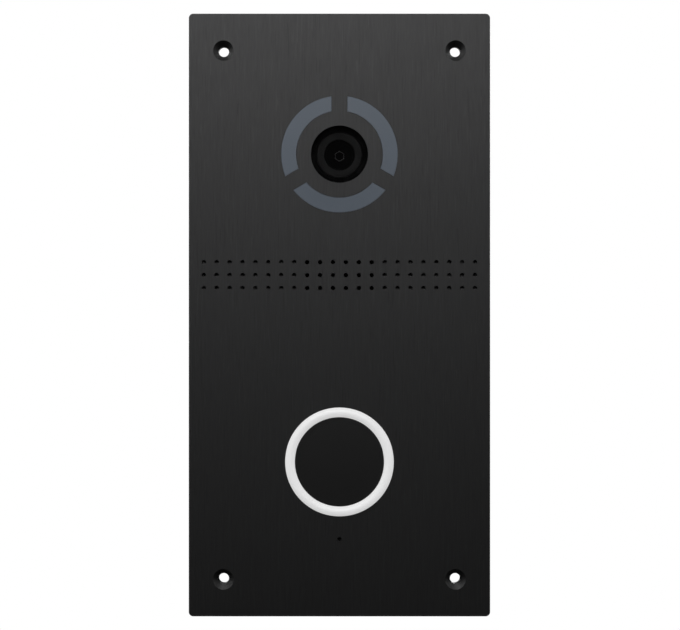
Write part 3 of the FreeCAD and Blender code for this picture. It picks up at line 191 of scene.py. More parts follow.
def buildBrushing():
    # long scratches along Z: fine lines, broader bands and a few deeper strokes
    group, start, end = newGroup(
        "brushedStreaks",
        [("Vector", "NodeSocketVector", None)],
        [("Tone", "NodeSocketFloat"), ("Height", "NodeSocketFloat")],
    )
    place = start.outputs["Vector"]
    fine = stretchedNoise(group, place, (1.0, 1.0, 0.05), 3600.0, 2.0)
    band = stretchedNoise(group, place, (1.0, 1.0, 0.09), 900.0, 3.0)
    stroke = stretchedNoise(group, place, (1.0, 1.0, 0.045), 1700.0, 1.0)
    deep = remap(group, stroke, 0.64, 0.74)
    bright = remap(group, stroke, 0.36, 0.26)
    fineShare = mathNode(group, "MULTIPLY", fine, 0.6)
    bandShare = mathNode(group, "MULTIPLY", band, 0.4)
    lines = mathNode(group, "ADD", fineShare, bandShare)
    ground = remap(group, lines, 0.30, 0.70, 0.15, 0.85)
    tone = mathNode(group, "SUBTRACT", ground, mathNode(group, "MULTIPLY", deep, 0.8))
    height = mathNode(group, "SUBTRACT", fine, mathNode(group, "MULTIPLY", deep, 0.6))
    group.links.new(mathNode(group, "ADD", tone, bright), end.inputs["Tone"])
    group.links.new(height, end.inputs["Height"])
    return group


def buildMouldGrain():
    # spark-eroded mould texture: rounded pits of about a fifth of a millimetre, with flow marks
    group, start, end = newGroup(
        "mouldGrain",
        [("Vector", "NodeSocketVector", None), ("Size", "NodeSocketFloat", 4200.0)],
        [("Height", "NodeSocketFloat"), ("Tone", "NodeSocketFloat")],
    )
    place, size = start.outputs["Vector"], start.outputs["Size"]
    pits = addNode(group, "ShaderNodeTexVoronoi", {"Vector": place, "Scale": size}, feature="SMOOTH_F1")
    rough = addNode(group, "ShaderNodeTexNoise", {"Vector": place, "Scale": size}, s_Detail=3.0)
    flow = addNode(group, "ShaderNodeTexNoise", {"Vector": place}, s_Scale=28.0, s_Detail=4.0)
    roughShare = mathNode(group, "MULTIPLY", rough.outputs["Fac"], 0.6)
    height = mathNode(group, "ADD", pits.outputs["Distance"], roughShare)
    group.links.new(height, end.inputs["Height"])
    group.links.new(remap(group, flow.outputs["Fac"], 0.3, 0.7), end.inputs["Tone"])
    return group


def buildHandling():
    # soft smears and sparse dust, as a mask for roughness and colour
    group, start, end = newGroup(
        "handling", [("Vector", "NodeSocketVector", None)],
        [("Smear", "NodeSocketFloat"), ("Dust", "NodeSocketFloat")],
    )
    place = start.outputs["Vector"]
    warp = addNode(
        group, "ShaderNodeTexNoise", {"Vector": place}, s_Scale=60.0, s_Detail=5.0, s_Distortion=1.2
    )
    specks = addNode(group, "ShaderNodeTexVoronoi", {"Vector": place}, s_Scale=900.0, s_Randomness=1.0)
    dust = remap(group, specks.outputs["Distance"], 0.10, 0.04)
    group.links.new(remap(group, warp.outputs["Fac"], 0.35, 0.72), end.inputs["Smear"])
    group.links.new(dust, end.inputs["Dust"])
    return group


def buildRings():
    # fine lathe lines round an axis along Y
    group, start, end = newGroup(
        "turnedLines", [("Vector", "NodeSocketVector", None), ("Pitch", "NodeSocketFloat", 0.0002)],
        [("Height", "NodeSocketFloat")],
    )
    parts = addNode(group, "ShaderNodeSeparateXYZ", {"Vector": start.outputs["Vector"]})
    flat = addNode(group, "ShaderNodeCombineXYZ", {"X": parts.outputs["X"], "Z": parts.outputs["Z"]})
    length = addNode(group, "ShaderNodeVectorMath", {0: flat.outputs["Vector"]}, operation="LENGTH")
    turns = mathNode(group, "DIVIDE", length.outputs["Value"], start.outputs["Pitch"])
    wave = mathNode(group, "SINE", mathNode(group, "MULTIPLY", turns, math.tau), 0.0)
    group.links.new(wave, end.inputs["Height"])
    return group


brushing = buildBrushing()
mouldGrain = buildMouldGrain()
handling = buildHandling()
turnedLines = buildRings()
print("shader groups ready")


def newMaterial(name, **values):
    material = bpy.data.materials.new(name)
    material.use_nodes = True
    shader = material.node_tree.nodes["Principled BSDF"]
    for key, value in values.items():
        shader.inputs[key.replace("_", " ")].default_value = value
    return material, material.node_tree, shader


def objectPlace(tree, centre=None):
    place = addNode(tree, "ShaderNodeTexCoord").outputs["Object"]
    if centre is None:
        return place
    return addNode(tree, "ShaderNodeMapping", {"Vector": place}, s_Location=-centre).outputs["Vector"]


def useGroup(tree, group, place, **values):
    node = addNode(tree, "ShaderNodeGroup", node_tree=group)
    tree.links.new(place, node.inputs["Vector"])
    for key, value in values.items():
        node.inputs[key].default_value = value
    return node


def blendColour(tree, factor, first, second):
    node = addNode(tree, "ShaderNodeMix", {"Factor": factor}, data_type="RGBA")
    node.inputs["A"].default_value = (*first, 1)
    node.inputs["B"].default_value = (*second, 1)
    return node.outputs["Result"]


def addBump(tree, shader, height, strength, depth):
    bump = addNode(tree, "ShaderNodeBump", {"Height": height}, s_Strength=strength, s_Distance=depth)
    tree.links.new(bump.outputs["Normal"], shader.inputs["Normal"])


def shade(colour, factor):
    return tuple(channel * factor for channel in colour)


def brushedMetal(name, dark, light, roughness, metallic, bump, specular=0.5):
    material, tree, shader = newMaterial(name, Metallic=metallic, Specular_IOR_Level=specular)
    place = objectPlace(tree)
    lines = useGroup(tree, brushing, place)
    marks = useGroup(tree, handling, place)
    colour = blendColour(tree, lines.outputs["Tone"], dark, light)
    tree.links.new(colour, shader.inputs["Base Color"])
    spread = remap(tree, lines.outputs["Tone"], 0.0, 1.0, roughness + 0.03, roughness - 0.03)
    spread = mathNode(tree, "ADD", spread, mathNode(tree, "MULTIPLY", marks.outputs["Smear"], 0.015))
    tree.links.new(spread, shader.inputs["Roughness"])
    addBump(tree, shader, lines.outputs["Height"], bump, 0.00002)
    return material


def mouldedPlastic(name, colour, roughness, size=4200.0, bump=0.25, coat=0.0, variation=0.12, gloss=0.5):
    material, tree, shader = newMaterial(
        name, Coat_Weight=coat, Coat_Roughness=0.15, Specular_IOR_Level=gloss
    )
    place = objectPlace(tree)
    grain = useGroup(tree, mouldGrain, place, Size=size)
    marks = useGroup(tree, handling, place)
    pale, deep = shade(colour, 1 + variation), shade(colour, 1 - variation)
    tone = blendColour(tree, grain.outputs["Tone"], deep, pale)
    tree.links.new(tone, shader.inputs["Base Color"])
    spread = remap(tree, marks.outputs["Smear"], 0.0, 1.0, roughness, roughness + 0.07)
    tree.links.new(spread, shader.inputs["Roughness"])
    addBump(tree, shader, grain.outputs["Height"], bump, 0.00003)
    return material


def plainMetal(name, colour, roughness, centre=None, pitch=0.00012, bump=0.15):
    # turned or drawn metal, with lathe lines when it has a centre
    material, tree, shader = newMaterial(name, Metallic=1.0)
    marks = useGroup(tree, handling, objectPlace(tree))
    tone = blendColour(tree, marks.outputs["Smear"], shade(colour, 0.88), colour)
    tree.links.new(tone, shader.inputs["Base Color"])
    spread = remap(tree, marks.outputs["Smear"], 0.0, 1.0, roughness - 0.04, roughness + 0.06)
    tree.links.new(spread, shader.inputs["Roughness"])
    if centre is not None:
        rings = useGroup(tree, turnedLines, objectPlace(tree, centre), Pitch=pitch)
        addBump(tree, shader, rings.outputs["Height"], bump, 0.000008)
    else:
        grain = useGroup(tree, mouldGrain, objectPlace(tree), Size=6000.0)
        addBump(tree, shader, grain.outputs["Height"], bump, 0.000006)
    return material


def clearGlass(name, colour, alpha, roughness=0.02):
    # thin clear glass: a dark body that lets most of the light straight through
    material, tree, shader = newMaterial(name, Base_Color=(*colour, 1), Alpha=alpha)
    marks = useGroup(tree, handling, objectPlace(tree))
    spread = remap(tree, marks.outputs["Smear"], 0.0, 1.0, roughness, roughness + 0.02)
    tree.links.new(spread, shader.inputs["Roughness"])
    return material


def foamRubber(name, colour):
    material, tree, shader = newMaterial(name, Roughness=0.9, Specular_IOR_Level=0.25)
    place = objectPlace(tree)
    cells = addNode(tree, "ShaderNodeTexVoronoi", {"Vector": place}, s_Scale=2600.0)
    tone = blendColour(tree, cells.outputs["Distance"], shade(colour, 0.5), shade(colour, 1.5))
    tree.links.new(tone, shader.inputs["Base Color"])
    addBump(tree, shader, cells.outputs["Distance"], 0.6, 0.00012)
    return material


def circuitBoard(name):
    # green mask with copper tracks showing through as raised lighter lanes
    material, tree, shader = newMaterial(name, Coat_Weight=0.4, Coat_Roughness=0.12)
    place = objectPlace(tree)
    flat = addNode(tree, "ShaderNodeMapping", {"Vector": place}, s_Rotation=(math.radians(90), 0, 0))
    cells = addNode(
        tree, "ShaderNodeTexBrick", {"Vector": flat.outputs["Vector"]},
        s_Scale=120.0, s_Mortar_Size=0.012, s_Brick_Width=0.9, s_Row_Height=0.12
    )
    lanes = remap(tree, cells.outputs["Fac"], 0.0, 1.0)
    tone = blendColour(tree, lanes, (0.008, 0.075, 0.03), (0.02, 0.13, 0.055))
    tree.links.new(tone, shader.inputs["Base Color"])
    marks = useGroup(tree, handling, place)
    tree.links.new(remap(tree, marks.outputs["Smear"], 0.0, 1.0, 0.3, 0.42), shader.inputs["Roughness"])
    addBump(tree, shader, lanes, 0.3, 0.00003)
    return material


def wovenMesh(name):
    material, tree, shader = newMaterial(name, Roughness=0.8)
    place = objectPlace(tree)
    warp = addNode(tree, "ShaderNodeTexWave", {"Vector": place}, bands_direction="X", s_Scale=900.0)
    weft = addNode(tree, "ShaderNodeTexWave", {"Vector": place}, bands_direction="Z", s_Scale=900.0)
    weave = mathNode(tree, "MAXIMUM", warp.outputs["Fac"], weft.outputs["Fac"])
    tone = blendColour(tree, weave, (0.001, 0.001, 0.001), (0.02, 0.02, 0.02))
    tree.links.new(tone, shader.inputs["Base Color"])
    addBump(tree, shader, weave, 0.5, 0.00005)
    return material


def opalRingPaintedGlow(name):
    # milky diffuser with an even glow: painted light that stands in for the soft all-round light on the
    # white ring, so its base white is kept dim
    material, tree, shader = newMaterial(
        name, Emission_Color=(1.0, 1.0, 1.0, 1), Emission_Strength=ringPaintedGlow["glow"], Specular_IOR_Level=0.4
    )
    place = objectPlace(tree)
    grain = useGroup(tree, mouldGrain, place, Size=5200.0)
    marks = useGroup(tree, handling, place)
    white = ringPaintedGlow["white"]
    tone = blendColour(tree, grain.outputs["Tone"], shade(white, 0.98), shade(white, 1.02))
    tree.links.new(tone, shader.inputs["Base Color"])
    tree.links.new(remap(tree, marks.outputs["Smear"], 0.0, 1.0, 0.36, 0.44), shader.inputs["Roughness"])
    addBump(tree, shader, grain.outputs["Height"], 0.06, 0.00002)
    return material


def printedLabel(name):
    # blank silver film with thin printed frames and no lettering
    material, tree, shader = newMaterial(name, Metallic=0.35, Roughness=0.42)
    centre = centreOf("rating_label")
    place = objectPlace(tree, centre)
    flat = addNode(tree, "ShaderNodeMapping", {"Vector": place}, s_Rotation=(math.radians(90), 0, 0))
    frames = addNode(
        tree, "ShaderNodeTexBrick", {"Vector": flat.outputs["Vector"]}, offset=0.0, s_Scale=1.0,
        s_Mortar_Size=0.0004, s_Mortar_Smooth=0.0, s_Brick_Width=0.029, s_Row_Height=0.0078
    )
    tone = blendColour(tree, frames.outputs["Fac"], (0.56, 0.57, 0.58), (0.05, 0.05, 0.055))
    tree.links.new(tone, shader.inputs["Base Color"])
    grain = useGroup(tree, mouldGrain, place, Size=7000.0)
    addBump(tree, shader, grain.outputs["Height"], 0.1, 0.00001)
    return material


plateFinish = {
    "dark": (0.0440, 0.0440, 0.0445), "light": (0.0555, 0.0555, 0.0560), "roughness": 0.54,
    "metallic": 0.97, "bump": 0.35,
}
# the ring's glow is painted light, standing in for the soft all-round light on the white ring; its base
# white is kept dim to match
ringPaintedGlow = {"glow": 0.585, "white": (0.255, 0.255, 0.255)}

plateMetal = brushedMetal("anodisedPlate", **plateFinish)
mouldedBlack = mouldedPlastic("housingPlastic", (0.018, 0.018, 0.019), 0.52)
moduleNylon = mouldedPlastic("moduleNylon", (0.012, 0.012, 0.013), 0.6, 3200.0)
baffleBlack = mouldedPlastic("baffleBlack", (0.004, 0.004, 0.004), 0.8, 5200.0)
capBlack = mouldedPlastic("capBlack", (0.0126, 0.0126, 0.0126), 0.55, 6500.0, 0.05, 0.0, 0.03, 0.14)
padSmoked = mouldedPlastic("padSmoked", (0.068, 0.086, 0.111), 0.44, 6000.0, 0.05, 0.0, 0.05, 0.62)
reflectorGrey = mouldedPlastic("reflectorGrey", (0.3, 0.3, 0.31), 0.35)
opalPaintedGlow = opalRingPaintedGlow("opalRingPaintedGlow")
stemWhite = mouldedPlastic("acetalWhite", (0.6, 0.6, 0.57), 0.4, 5000.0, 0.1)
connectorIvory = mouldedPlastic("connectorIvory", (0.55, 0.52, 0.43), 0.45, 5000.0, 0.15)
socketBlack = mouldedPlastic("socketBlack", (0.012, 0.012, 0.012), 0.3, 6000.0, 0.1)
terminalGreen = mouldedPlastic("terminalGreen", (0.02, 0.16, 0.06), 0.42, 5000.0, 0.15)
chipBlack = mouldedPlastic("chipEpoxy", (0.012, 0.012, 0.013), 0.55, 7000.0, 0.2)
powerMix = mouldedPlastic("powerSleeves", (0.02, 0.022, 0.03), 0.35, 6000.0, 0.1)
conePaper = mouldedPlastic("coneFilm", (0.02, 0.02, 0.022), 0.5, 3800.0, 0.2)
ribbonFilm = mouldedPlastic("ribbonFilm", (0.62, 0.61, 0.56), 0.35, 6500.0, 0.05)
leadRed = mouldedPlastic("leadInsulation", (0.3, 0.012, 0.012), 0.45, 6000.0, 0.08)
sealRubber = mouldedPlastic("sealRubber", (0.008, 0.008, 0.008), 0.7, 3600.0, 0.3)
gasketFoam = foamRubber("gasketFoam", (0.012, 0.012, 0.012))
lampWhite = mouldedPlastic("lampWhite", (0.75, 0.68, 0.4), 0.4, 7000.0, 0.05)
lampEpoxy = mouldedPlastic("lampEpoxy", (0.02, 0.016, 0.024), 0.12, 7000.0, 0.02)
screwSteel = plainMetal("screwSteel", (0.55, 0.54, 0.52), 0.3)
studSteel = plainMetal("studSteel", (0.62, 0.45, 0.33), 0.35)
springSteel = plainMetal("springSteel", (0.5, 0.49, 0.48), 0.28)
clampSteel = plainMetal("clampSteel", (0.6, 0.6, 0.58), 0.36)
bracketMetal = plainMetal("bracketMetal", (0.5, 0.5, 0.51), 0.45)
contactGold = plainMetal("contactGold", (0.85, 0.6, 0.22), 0.2)
micMetal = plainMetal("micMetal", (0.6, 0.6, 0.6), 0.28, centreOf("microphone"))
magnetGrey = plainMetal("magnetGrey", (0.1, 0.1, 0.1), 0.6, centreOf("speaker_magnet"))
basketPaint = mouldedPlastic("basketPaint", (0.015, 0.015, 0.016), 0.4, 5000.0, 0.15, 0.3)
coilCopper = plainMetal("coilCopper", (0.6, 0.25, 0.1), 0.3, centreOf("voice_coil"), 0.0003, 0.5)
lensBlack = mouldedPlastic("lensBlack", (0.018, 0.018, 0.018), 0.5, 6500.0, 0.04, 0.0, 0.04, 0.12)
lensDark = mouldedPlastic("lensInside", (0.004, 0.004, 0.004), 0.6, 6500.0, 0.05, 0.0, 0.04, 0.1)
# pale grey here is a painted highlight: it stands in for light glinting off the edge of the lens stop
irisPaintedGlint = mouldedPlastic("irisPaintedGlint", (0.55, 0.55, 0.55), 0.5, 6500.0, 0.05, 0.0, 0.04, 0.2)
borderInk = mouldedPlastic("borderInk", (0.0032, 0.0032, 0.0032), 0.7, 7000.0, 0.02, 0.0, 0.12, 0.04)
windowGlass = clearGlass("windowGlass", (0.004, 0.004, 0.004), 0.22)
lensGlass = clearGlass("lensGlass", (0.003, 0.003, 0.0035), 0.34, 0.01)
filterGlass = clearGlass("filterGlass", (0.05, 0.16, 0.15), 0.5)
sensorGlass = mouldedPlastic("sensorGlass", (0.02, 0.015, 0.03), 0.1, 7000.0, 0.02, 1.0)
boardGreen = circuitBoard("solderMask")
meshBlack = wovenMesh("acousticMesh")
labelFilm = printedLabel("labelFilm")

carriedOver = {
    plateMetal: ["face_plate"],
    mouldedBlack: ["carrier_frame", "rear_cover"],
    moduleNylon: ["lens_holder", "filter_slide", "button_pot", "call_switch"],
    baffleBlack: ["light_baffle"],
    capBlack: ["button_cap"],
    padSmoked: ["illuminator_window"],
    reflectorGrey: ["illuminator_reflector"],
    opalPaintedGlow: ["light_ring"],
    stemWhite: ["button_stem", "switch_plunger"],
    connectorIvory: ["board_connectors"],
    socketBlack: ["network_socket"],
    terminalGreen: ["terminal_blocks"],
    chipBlack: ["main_board_chips"],
    powerMix: ["power_parts"],
    conePaper: ["speaker_cone"],
    ribbonFilm: ["camera_ribbon"],
    leadRed: ["internal_leads"],
    sealRubber: ["rear_cover_seal", "stem_oring", "speaker_surround", "microphone_boot"],
    gasketFoam: ["wall_gasket", "front_gasket", "speaker_gasket"],
    lampWhite: ["ring_lamps"],
    lampEpoxy: ["infrared_lamps", "light_sensor"],
    screwSteel: ["stud_nuts", "rear_cover_screws", "module_screws"],
    studSteel: ["weld_studs"],
    springSteel: ["button_spring"],
    clampSteel: ["speaker_clamp"],
    bracketMetal: ["camera_bracket"],
    micMetal: ["microphone"],
    magnetGrey: ["speaker_magnet", "filter_rotor"],
    basketPaint: ["speaker_basket"],
    coilCopper: ["voice_coil", "filter_coil"],
    lensBlack: ["lens_barrel", "lens_lock_ring"],
    irisPaintedGlint: ["lens_stop"],
    windowGlass: ["camera_window"],
    lensGlass: ["front_lens", "inner_lenses"],
    filterGlass: ["filter_panes"],
    sensorGlass: ["image_sensor"],
    boardGreen: ["camera_board", "illuminator_board", "ring_lamp_board", "main_board"],
    meshBlack: ["sound_mesh", "microphone_membrane"],
    labelFilm: ["rating_label"],
}
for material, names in carriedOver.items():
    for name in names:
        nodes[name].data.materials.clear()
        nodes[name].data.materials.append(material)
bare = set(nodes) - {name for names in carriedOver.values() for name in names}
print("materials ready, nodes without one:", sorted(bare))


callRing = {
    "flangeWidth": 2.3, "width": 3.75, "rebate": 1.0, "crest": -5.3, "shoulder": 1.1, "bore": 1.5,
    "segments": 192, "cornerSteps": 8,
}


def addLightRing():
    low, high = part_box("light_ring")
    front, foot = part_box("face_plate")[0].y / mm, high.y / mm
    flange = (high.x - low.x) / 2 / mm
    outer = flange - callRing["flangeWidth"]
    inner = outer - callRing["width"]
    outline = [
        (inner, front, 0.15),
        (inner + callRing["shoulder"], callRing["crest"], 0.8),
        (outer - callRing["shoulder"], callRing["crest"], 0.8),
        (outer, front, 0.15),
        (outer, 0.0, 0),
        (flange, 0.0, 0.2),
        (flange, foot, 0),
        (flange - callRing["rebate"], foot, 0),
        (flange - callRing["rebate"], callRing["bore"], 0.3),
        (inner, callRing["bore"], 0.2),
    ]
    turned = lathe(outline, centreOf("light_ring"), callRing["segments"], callRing["cornerSteps"])
    ring = addPiece("callLightRing", turned, "housing", opalPaintedGlow)
    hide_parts("light_ring")


buttonFace = {
    "lipWidth": 1.05, "skirt": 1.8, "thickness": 2.5, "edge": 0.32, "lipDepth": 0.95, "segments": 192,
}


def addButtonCap():
    low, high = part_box("button_cap")
    front, back = low.y / mm, high.y / mm
    lip = (high.x - low.x) / 2 / mm
    radius = lip - buttonFace["lipWidth"]
    skirt = radius - buttonFace["skirt"]
    lipFront = back - buttonFace["lipDepth"]
    outline = [
        (0.0, front, 0),
        (radius, front, buttonFace["edge"]),
        (radius, lipFront, 0.1),
        (lip, lipFront, 0.12),
        (lip, back, 0.12),
        (skirt, back, 0.12),
        (skirt, front + buttonFace["thickness"], 0.6),
        (0.0, front + buttonFace["thickness"], 0),
    ]
    turned = lathe(outline, centreOf("button_cap"), buttonFace["segments"])
    cap = addPiece("callButtonCap", turned, "call_button", capBlack)
    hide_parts("button_cap")


windowDisc = {"bevel": 0.25, "borderInner": 9.25, "borderDepth": 0.04, "borderGap": 0.2}


def addCameraWindow():
    low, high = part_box("camera_window")
    radius, front, back = (high.x - low.x) / 2 / mm, low.y / mm, high.y / mm
    inkBack = back - windowDisc["borderDepth"]
    outline = [
        (0.0, front, 0), (radius, front, windowDisc["bevel"]), (radius, inkBack, 0.1), (0.0, inkBack, 0)
    ]
    centre = centreOf("camera_window")
    disc = addPiece("cameraWindowGlass", lathe(outline, centre), "housing", windowGlass)
    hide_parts("camera_window")
    borderInner, borderOuter = windowDisc["borderInner"], radius - windowDisc["borderGap"]
    border = [
        (borderInner, inkBack, 0), (borderOuter, inkBack, 0),
        (borderOuter, back, 0), (borderInner, back, 0),
    ]
    addPiece("cameraWindowBorder", lathe(border, centre), "housing", borderInk)


lensShape = {
    "headBack": 5.5, "thread": 6.0, "seat": 6.15, "rear": 4.2, "rearDepth": 3.0, "throat": 1.75, "steps": 6,
    "stepTop": 5.25, "stepFront": 0.85, "stopFront": 1.75, "dome": 0.3, "lensBack": 0.8, "lensEdge": -0.25,
    "irisOuter": 2.12, "irisPaintedGlintWidth": 0.28, "irisBack": 2.2, "baffleEnd": 2.4, "baffleSegments": 128,
}


def addLensBarrel():
    low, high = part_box("lens_barrel")
    head, front, back = (high.x - low.x) / 2 / mm, low.y / mm, high.y / mm
    stepEdge = lensShape["stepFront"]
    outline = [
        (lensShape["seat"], front, 0.1), (head, front, 0.28), (head, lensShape["headBack"], 0.1),
        (lensShape["thread"], lensShape["headBack"], 0), (lensShape["thread"], back, 0.15),
        (lensShape["rear"], back, 0.1), (lensShape["rear"], lensShape["rearDepth"], 0),
        (lensShape["stepTop"], lensShape["rearDepth"] - 0.4, 0), (lensShape["stepTop"] + 0.1, stepEdge, 0),
        (lensShape["seat"], stepEdge, 0),
    ]
    turned = lathe(outline, centreOf("lens_barrel"))
    barrel = addPiece("lensBarrel", turned, "housing", lensBlack)
    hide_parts("lens_barrel")


def addLensBaffles():
    # saw-tooth rings that trap stray light, narrowing towards the stop
    count = lensShape["steps"]
    fall = (lensShape["stepTop"] - lensShape["throat"]) / count
    rise = (lensShape["stopFront"] + 0.3 - lensShape["stepFront"]) / count
    outline = []
    for i in range(count):
        r, y = lensShape["stepTop"] - i * fall, lensShape["stepFront"] + i * rise
        outline += [(r, y, 0), (r, y + rise, 0)]
    end = lensShape["baffleEnd"]
    outline += [(lensShape["throat"], end, 0), (lensShape["stepTop"], end, 0)]
    turned = lathe(outline, centreOf("lens_barrel"), lensShape["baffleSegments"])
    addPiece("lensBaffles", turned, "housing", lensDark, 20)


def addFrontLens():
    # the dome is a vertex swung about its centre of curvature, then turned
    centre = centreOf("front_lens")
    radius, edge, dome = (lensShape["seat"] - 0.02) * mm, lensShape["lensEdge"] * mm, lensShape["dome"] * mm
    ball = (radius ** 2 + dome ** 2) / (2 * dome)
    axis = Vector((centre.x, 0, centre.z))
    bm = bmesh.new()
    tip = bm.verts.new(axis + Vector((0, edge - dome, 0)))
    bmesh.ops.spin(
        bm, geom=[tip], cent=axis + Vector((0, edge - dome + ball, 0)), axis=(0, 0, 1),
        angle=math.asin(radius / ball), steps=24
    )
    rim = max(bm.verts, key=lambda vert: vert.co.x)
    corner = bm.verts.new(axis + Vector((radius, lensShape["lensBack"] * mm, 0)))
    middle = bm.verts.new(axis + Vector((0, (lensShape["lensBack"] - 0.3) * mm, 0)))
    bm.edges.new((rim, corner))
    bm.edges.new((corner, middle))
    spinRound(bm, axis)
    lens = addPiece("frontLens", bm, "housing", lensGlass)
    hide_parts("front_lens")


def addIris():
    # six blades leave a six-sided opening; the thin band round it is pale grey, a painted highlight
    # standing in for light glinting off the edge of the stop
    centre = centreOf("lens_stop")
    bm = bmesh.new()
    bmesh.ops.create_circle(bm, cap_ends=True, segments=6, radius=lensShape["irisOuter"] * mm)
    bmesh.ops.rotate(bm, verts=bm.verts, matrix=Matrix.Rotation(math.radians(90), 3, "X"))
    bmesh.ops.inset_individual(bm, faces=bm.faces[:], thickness=lensShape["irisPaintedGlintWidth"] * mm)
    opening = [face for face in bm.faces if len(face.verts) == 6]
    bmesh.ops.delete(bm, geom=opening, context="FACES")
    band = bmesh.ops.extrude_face_region(bm, geom=bm.faces[:])
    depth = (lensShape["irisBack"] - lensShape["stopFront"]) * mm
    moved = [item for item in band["geom"] if isinstance(item, bmesh.types.BMVert)]
    bmesh.ops.translate(bm, verts=moved, vec=(0, depth, 0))
    bmesh.ops.translate(bm, verts=bm.verts, vec=(centre.x, (lensShape["stopFront"] - 0.1) * mm, centre.z))
    iris = addPiece("irisPaintedGlintBand", bm, "housing", irisPaintedGlint)
    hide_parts("lens_stop")


springShape = {"meanRadius": 7.2, "turns": 5.5, "stepsPerTurn": 32, "wireSides": 12, "press": 0.6}


def addButtonSpring():
    # the wire's section is swung and raised in one spin
    low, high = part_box("button_spring")
    centre = centreOf("button_spring")
    mean = springShape["meanRadius"] * mm
    wire = (high.x - low.x) / 2 - mean
    steps = round(springShape["turns"] * springShape["stepsPerTurn"])
    rise = (high.y - low.y - 2 * wire) / steps
    bm = bmesh.new()
    start = Matrix.Translation((centre.x + mean, low.y + wire, centre.z))
    bmesh.ops.create_circle(bm, segments=springShape["wireSides"], radius=wire, matrix=start)
    bmesh.ops.spin(
        bm, geom=bm.verts[:] + bm.edges[:], cent=(centre.x, low.y, centre.z), axis=(0, 1, 0),
        dvec=(0, rise, 0), angle=springShape["turns"] * math.tau, steps=steps
    )
    ends = [edge for edge in bm.edges if len(edge.link_faces) == 1]
    bmesh.ops.holes_fill(bm, edges=ends, sides=springShape["wireSides"])
    spring = addPiece("callButtonSpring", bm, "housing", springSteel, 50)
    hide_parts("button_spring")
    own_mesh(spring)


gasketShapes = {
    "wall_gasket": {"band": 4.0, "corner": 1.8, "softness": 0.7},
    "front_gasket": {"band": 4.0, "corner": 6.0, "softness": 0.35},
    "rear_cover_seal": {"band": 2.2, "corner": 6.0, "softness": 0.3},
}


def addGasket(node, name, material):
    # a closed frame: a block whose middle is opened, with rounded corners and soft edges
    low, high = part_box(node)
    band, corner, softness = gasketShapes[node].values()
    bm = bmesh.new()
    bmesh.ops.create_cube(bm, size=1.0)
    bmesh.ops.scale(bm, verts=bm.verts, vec=high - low)
    bmesh.ops.translate(bm, verts=bm.verts, vec=(low + high) / 2)
    broad = [face for face in bm.faces if abs(face.normal.y) > 0.9]
    bmesh.ops.inset_individual(bm, faces=broad, thickness=band * mm)
    loops = [edge for face in broad for edge in face.edges]
    bmesh.ops.delete(bm, geom=broad, context="FACES_ONLY")
    bmesh.ops.bridge_loops(bm, edges=loops)
    middle = (low + high) / 2
    reach = (high.x - low.x) / 2 - band * mm / 2
    upright = [edge for edge in bm.edges if abs((edge.verts[0].co - edge.verts[1].co).normalized().y) > 0.9]
    outer = [edge for edge in upright if abs(edge.verts[0].co.x - middle.x) > reach]
    inner = [edge for edge in upright if edge not in outer]
    for edges, radius in ((outer, corner), (inner, max(corner - band, 0.4))):
        bmesh.ops.bevel(
            bm, geom=edges, offset=radius * mm, offset_type="OFFSET", segments=6, affect="EDGES",
            profile=0.5, material=-1
        )
    rims = [edge for edge in bm.edges if edge.calc_face_angle(0) > math.radians(60)]
    bmesh.ops.bevel(
        bm, geom=rims, offset=softness * mm, offset_type="OFFSET", segments=4, affect="EDGES", profile=0.5,
        material=-1
    )
    gasket = addPiece(name, bm, "housing", material, 50)
    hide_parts(node)


socketPins = {
    "count": 8, "pitch": 1.02, "width": 0.42, "thick": 0.3, "length": 8.6, "tilt": 17, "drop": 5.9,
    "depth": 5.6, "edge": 0.06,
}


def addSocketContacts():
    low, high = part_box("network_socket")
    bm = bmesh.new()
    depth, drop = socketPins["depth"] * mm, socketPins["drop"] * mm
    middle = Vector(((low.x + high.x) / 2, high.y - depth, high.z - drop))
    for i in range(socketPins["count"]):
        across = (i - (socketPins["count"] - 1) / 2) * socketPins["pitch"]
        half = Vector((socketPins["width"], socketPins["length"], socketPins["thick"])) * mm / 2
        before = set(bm.verts)
        roundedBar(bm, -half, half, socketPins["edge"] * mm)
        pin = [vert for vert in bm.verts if vert not in before]
        bmesh.ops.rotate(bm, verts=pin, matrix=Matrix.Rotation(math.radians(socketPins["tilt"]), 3, "X"))
        bmesh.ops.translate(bm, verts=pin, vec=middle + Vector((across * mm, 0, 0)))
    addPiece("socketContacts", bm, "housing", contactGold)


terminalParts = {
    "ways": 5, "pitch": 3.81, "margin": 0.4, "holeRise": 3.4, "leverLow": 7.35, "leverHigh": 10.25,
    "leverHalf": 0.95, "leverBack": 3.6, "leverFront": 0.7, "leverEdge": 0.22, "gripRise": 0.12,
    "grip": (0.5225, 0.25, 0.35), "gripEdge": 0.08, "cageDepth": 3.2, "cageMouth": 1.18,
    "cageThroat": 0.85, "cageLength": 1.6, "cageWall": 0.12, "cageSides": 24,
}


def wayPlaces():
    # the middle of each way, block by block, from the outside corners of the two blocks
    low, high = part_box("terminal_blocks")
    width = terminalParts["ways"] * terminalParts["pitch"] + 2 * terminalParts["margin"]
    for start in (low.x, high.x - width * mm):
        for i in range(terminalParts["ways"]):
            yield start + (terminalParts["margin"] + terminalParts["pitch"] * (i + 0.5)) * mm


